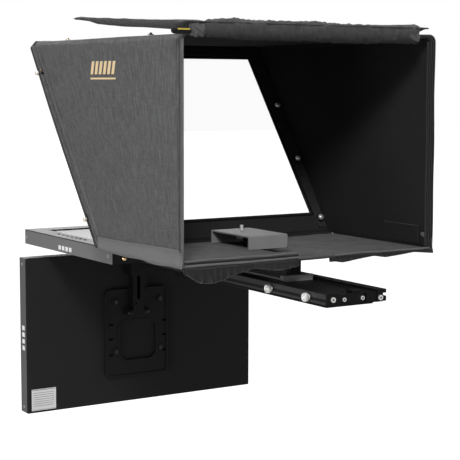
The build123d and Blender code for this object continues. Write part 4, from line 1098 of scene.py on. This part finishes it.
# ---------------------------------------------------------------- fasteners
def make_thumbscrews():
    """Inner screws with a black washer and a domed knob, and outer ones that enter the frame sideways."""
    shapes = []
    rear = GLASS_NORMAL
    inner_limit = 0.246
    for solid in islands("frame_thumbscrews"):
        middle = Vector(solid.mean(axis=0))
        reach = np.abs(solid[:, 0])
        if reach.max() < inner_limit:
            x = 0.5 * (solid[:, 0].min() + solid[:, 0].max())
            offset = rear.dot(Vector((0, middle.y, middle.z)))
            base = Vector((x, middle.y, middle.z)) + rear * (GLASS_OFFSET - offset + 0.0024)
            washer = [(0, 0.0072), (0.0009, 0.0072), (0.0013, 0.0067), (0.0013, 0.0040)]
            shapes.append((*lathe(washer, rear, base), 1))
            shapes.append((*lathe([(0.0012, 0.0030), (0.0034, 0.0030), (0.0038, 0.0050), (0.0046, 0.0056),
                                   (0.0066, 0.0056), (0.0082, 0.0050), (0.0094, 0.0036), (0.0101, 0.0018)],
                                  rear, base, 48), 0))
            shapes.append((*lathe([(-0.0084, 0.0024), (0.0014, 0.0024)], rear, base), 0))
            continue
        side = 1 if middle.x > 0 else -1
        tip = Vector((side * reach.max(), 0.5 * (solid[:, 1].min() + solid[:, 1].max()),
                      0.5 * (solid[:, 2].min() + solid[:, 2].max())))
        out = Vector((side, 0, 0))
        tip = tip - out * 0.0012
        shapes.append((*lathe([(-0.0150, 0.0015), (-0.0030, 0.0015)], out, tip), 0))
        shapes.append((*lathe([(-0.0050, 0.0038), (-0.0045, 0.0042), (-0.0034, 0.0042), (-0.0030, 0.0036)],
                              out, tip, 6), 1))
        shapes.append((*lathe([(-0.0032, 0.0028), (-0.0022, 0.0028), (-0.0020, 0.0038), (0.0010, 0.0040),
                               (0.0020, 0.0034), (0.0024, 0.0014)], out, tip), 2))
        seat = Vector((side * (reach.max() - 0.0090), tip.y, tip.z))
        seat = seat + rear * (GLASS_OFFSET - rear.dot(Vector((0, seat.y, seat.z))) + 0.0012)
        stud = [(0, 0.0021), (0.0018, 0.0021), (0.0026, 0.0014)]
        nut = [(0, 0.0030), (0.0020, 0.0030), (0.0024, 0.0024)]
        shapes.append((*lathe(stud, rear, seat + GLASS_UP * 0.0034), 3))
        shapes.append((*lathe(nut, rear, seat - GLASS_UP * 0.0038, 6), 1))
    finishes = ["steel_screws", "black_nut", "side_head", "brass_knob"]
    turned("frame_thumbscrews_detailed", shapes, finishes, "hood", "steel_screws", "frame_thumbscrews")


def make_snaps():
    """Press studs for the curtain: a ring and a domed stud on the top panel."""
    shapes = []
    for solid in islands("curtain_snaps"):
        if len(solid) < 12:
            continue
        centre = Vector((solid[:, 0].mean(), solid[:, 1].mean(), TOP))
        ring = [(0, 0.0050), (0.0006, 0.0050), (0.0011, 0.0044), (0.0013, 0.0034), (0.0010, 0.0026)]
        stud = [(0.0008, 0.0020), (0.0020, 0.0020), (0.0026, 0.0026), (0.0032, 0.0025), (0.0037, 0.0018),
                (0.0038, 0.0008)]
        dark = 1 if centre.y > 0.1 else 0
        shapes.append((*lathe(ring, Z, centre), dark))
        shapes.append((*lathe(stud, Z, centre), dark))
    turned("curtain_snap_studs", shapes, ["snap_metal", "black_nut"], "hood", "snap_metal", "curtain_snaps")


def knob_shapes(base_x, y, z, radius, head, shank, shank_r):
    """A thumb knob on the +X side: shank, waist and a knurled head with rounded rims and a dished face."""
    start = Vector((base_x, y, z))
    body = [(0.0002, radius * 0.62), (0.0010, radius * 0.70), (0.0026, radius * 0.62),
            (0.0032, radius * 0.90), (0.0038, radius), (0.0030 + head, radius),
            (0.0037 + head, radius * 0.92), (0.0039 + head, radius * 0.72),
            (0.0032 + head, radius * 0.60), (0.0031 + head, radius * 0.2)]
    shapes = [(*lathe(body, X, start, 72, (0.0037, 0.0031 + head, radius * 0.07, 24)), 0)]
    shapes.append((*lathe([(-shank, shank_r), (0.0004, shank_r)], X, start), 0))
    tip = [(0.0029 + head, 0.0016), (0.0046 + head, 0.0015), (0.0050 + head, 0.0008)]
    shapes.append((*lathe(tip, X, start, 16), 0))
    return shapes


def make_knobs():
    for name, material in (("rail_knob_front", "steel_screws"), ("rail_knob_rear", "steel_screws"),
                           ("talent_arm_knob", "brass_knob")):
        low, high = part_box(name)
        radius = (high.z - low.z) / 2
        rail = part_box("rail_left")[1].x
        seat = ARM_SEAT if name == "talent_arm_knob" else rail
        centre = ((low.y + high.y) / 2, (low.z + high.z) / 2)
        shank_r = 0.0030 if name == "talent_arm_knob" else 0.0025
        shapes = knob_shapes(seat, *centre, radius, high.x - seat - 0.0040, seat - low.x, shank_r)
        turned(name + "_detailed", shapes, [material], name, material, name)


def make_rear_wall_screw():
    """A brass-coloured domed screw on the rear wall of the prompter monitor, under the left skirt."""
    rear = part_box("prompter_housing")[1].y
    dome = [(-0.0010, 0.0046), (0.0012, 0.0046), (0.0026, 0.0038), (0.0036, 0.0022), (0.0039, 0.0008)]
    shapes = [(*lathe(dome, Y, (0.1985, rear, 0.0545)), 0)]
    turned("prompter_rear_screw", shapes, ["brass_knob"], "base", "brass_knob")


def make_rail_painted_light():
    """Painted light on the left rail: a paler strip on its raised upper face, above the darker groove, and one
    near its foot.
    """
    low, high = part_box("rail_left")
    shapes = []
    for bottom, top in ((high.z - 0.0085, high.z - 0.0010), (low.z + 0.0015, low.z + 0.0055)):
        shapes.append(block((high.x, low.y + 0.002, bottom), (high.x + 0.0004, high.y - 0.002, top)))
    turned("rail_left_painted_light_strips", shapes, ["rail_face_painted_light"], "base", "black_anodised")


def make_recess_shade():
    """Painted shade for the hexagonal or cross recesses in the visible screw heads: thin dark marks, with no
    hollow cut.
    """
    shapes = []
    for solid in islands("rail_screws"):
        high = solid.max(axis=0)
        heads = solid[solid[:, 1] > high[1] - 0.0005]
        centre = Vector((heads[:, 0].mean(), high[1] + 0.00002, heads[:, 2].mean()))
        shapes.append((*lathe([(-0.0001, 0.0017), (0.0001, 0.0017)], Y, centre, 6), 0))
    turned("rail_screw_recess_shade", shapes, ["black_nut"], "base", "button_plastic")
    side_screws = (("talent_screws", "talent_head", 0.253), ("prompter_screws", "base", 0.222))
    for node_name, body, limit in side_screws:
        shapes = []
        for solid in islands(node_name):
            low, high = solid.min(axis=0), solid.max(axis=0)
            side = 1 if high[0] > 0 else -1
            outer = high[0] if side > 0 else low[0]
            if abs(outer) < limit:
                continue
            y, z = (low[1] + high[1]) / 2, (low[2] + high[2]) / 2
            for dy, dz in ((0.0016, 0.0004), (0.0004, 0.0016)):
                x0, x1 = sorted((outer - side * 0.0002, outer + side * 0.00008))
                shapes.append(block((x0, y - dy, z - dz), (x1, y + dy, z + dz)))
        turned(node_name + "_recess_shade", shapes, ["black_nut"], body, "button_plastic")


# ---------------------------------------------------------------- marks and label
def make_marks():
    """Plain equal stripes on the two monitors' sides, and ruled lines on the label."""
    stripes, pitch, width = 4, 0.0150, 0.0100
    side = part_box("prompter_housing")[1].x
    shapes = []
    for index in range(stripes):
        rear = -0.118 - pitch * index
        shapes.append(block((side, rear - width, 0.0490), (side + 0.0003, rear, 0.0570)))
    turned("prompter_side_stripes", shapes, ["white_print"], "base", "label_paper")

    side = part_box("talent_housing")[1].x
    shapes = []
    for index in range(stripes):
        top = -0.107 - 0.0130 * index
        shapes.append(block((side, -0.2745, top - 0.0085), (side + 0.0003, -0.2635, top)))
    turned("talent_side_stripes", shapes, ["white_print"], "talent_head", "label_paper")

    low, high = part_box("talent_label")
    y0, y1 = high.y, high.y + 0.00008
    shapes = []
    edge = 0.0012
    shapes.append(block((low.x + edge, y0, high.z - 2 * edge), (high.x - edge, y1, high.z - edge)))
    shapes.append(block((low.x + edge, y0, low.z + edge), (high.x - edge, y1, low.z + 1.6 * edge)))
    for row in range(7):
        z = high.z - 0.0080 - 0.0042 * row
        shapes.append(block((low.x + 0.004, y0, z), (high.x - 0.004, y1, z + 0.0008)))
    turned("talent_label_lines", shapes, ["label_ink"], "talent_head", "label_paper")


# ---------------------------------------------------------------- CAD nodes
def finish_cad_nodes():
    """Give every CAD node that stays its material, and rounded edges where it is machined or moulded."""
    slots = {part["node"]: part["material_slot"] for part in frame["record"]["subparts"]}
    own_materials = {"talent_screws": "talent_screws", "prompter_screws": "prompter_screws",
                     "talent_housing": "talent_shell_painted_shade", "talent_plate": "plate_paint"}
    sharp_parts = {"beamsplitter_glass", "talent_label", "side_emblem", "prompter_screen", "talent_screen"}
    for name, piece in NODES.items():
        piece.data.materials.clear()
        piece.data.materials.append(MATERIALS[own_materials.get(name, slots[name])])
        if piece.hide_render or name in sharp_parts:
            continue
        weld = piece.modifiers.new("weld", "WELD")
        weld.merge_threshold = 0.00001
        bevel = piece.modifiers.new("bevel", "BEVEL")
        bevel.limit_method, bevel.angle_limit = "ANGLE", math.radians(40)
        bevel.width, bevel.segments = 0.0005, 2
        bevel.use_clamp_overlap = True
        even = piece.modifiers.new("even_normals", "WEIGHTED_NORMAL")
        even.keep_sharp = True


# ---------------------------------------------------------------- studio
def area_light(name, place_at, aim, size, power):
    data = bpy.data.lights.new(name, "AREA")
    data.shape, data.size, data.energy = "SQUARE", size, power
    lamp = bpy.data.objects.new(name, data)
    direction = Vector(aim) - Vector(place_at)
    lamp.matrix_world = Matrix.Translation(place_at) @ direction.to_track_quat("-Z", "Y").to_matrix().to_4x4()
    bpy.context.scene.collection.objects.link(lamp)


def make_studio():
    """A pale floor well below the object, a white surround and soft lights."""
    world = bpy.data.worlds.new("studio")
    bpy.context.scene.world = world
    world.use_nodes = True
    tree = world.node_tree
    path = node(tree, "ShaderNodeLightPath")
    mirrored = math_node(tree, "MULTIPLY_ADD", path.outputs["Is Glossy Ray"], 0.15, 0.28)
    strength = ramp(tree, path.outputs["Is Camera Ray"], 0.0, 1.0, mirrored, 1.0)
    tree.links.new(strength, tree.nodes["Background"].inputs["Strength"])
    tree.nodes["Background"].inputs["Color"].default_value = (1, 1, 1, 1)

    material, tree, shader = new_material("studio_floor", Roughness=0.9)
    shader.inputs["Emission Color"].default_value = (1, 1, 1, 1)
    path = node(tree, "ShaderNodeLightPath")
    mirrored = math_node(tree, "MULTIPLY_ADD", path.outputs["Is Glossy Ray"], 0.25, 0.05)
    glow = ramp(tree, path.outputs["Is Camera Ray"], 0.0, 1.0, mirrored, 1.0)
    tree.links.new(glow, shader.inputs["Emission Strength"])
    cloud = noise(tree, coordinates(tree), 1.5)
    tree.links.new(tinted(tree, grey(0.35), spread(tree, cloud, 0.99, 1.01)), shader.inputs["Base Color"])
    MATERIALS["studio_floor"] = material
    reach, level = 30.0, -0.95
    corners = [(-reach, -reach, level), (reach, -reach, level), (reach, reach, level), (-reach, reach, level)]
    add_object("studio_floor", corners, [(0, 1, 2, 3)], ["studio_floor"])

    area_light("key", (1.55, 2.35, 1.95), (0.0, 0.1, 0.2), 0.7, 60.0)
    area_light("top_fill", (0.2, -0.2, 2.6), (0.0, 0.0, 0.2), 2.0, 42.0)
    area_light("front_fill", (-0.6, -2.4, 1.2), (0.0, 0.0, 0.1), 1.6, 25.0)
    area_light("side_fill", (2.3, 0.55, -0.45), (0.0, -0.15, -0.05), 1.4, 26.0)
    bpy.context.scene.view_settings.view_transform = "Standard"


make_camera()
make_hood_cover()
make_rear_binding()
make_front_hems()
make_side_flaps()
make_front_flanges()
make_hook_strips()
make_skirts()
make_floor()
make_floor_tuck()
make_valances()
make_floor_hems()
make_curtain()
make_roll()
make_thumbscrews()
make_snaps()
make_knobs()
make_rear_wall_screw()
make_rail_painted_light()
make_recess_shade()
make_marks()
finish_cad_nodes()
make_studio()
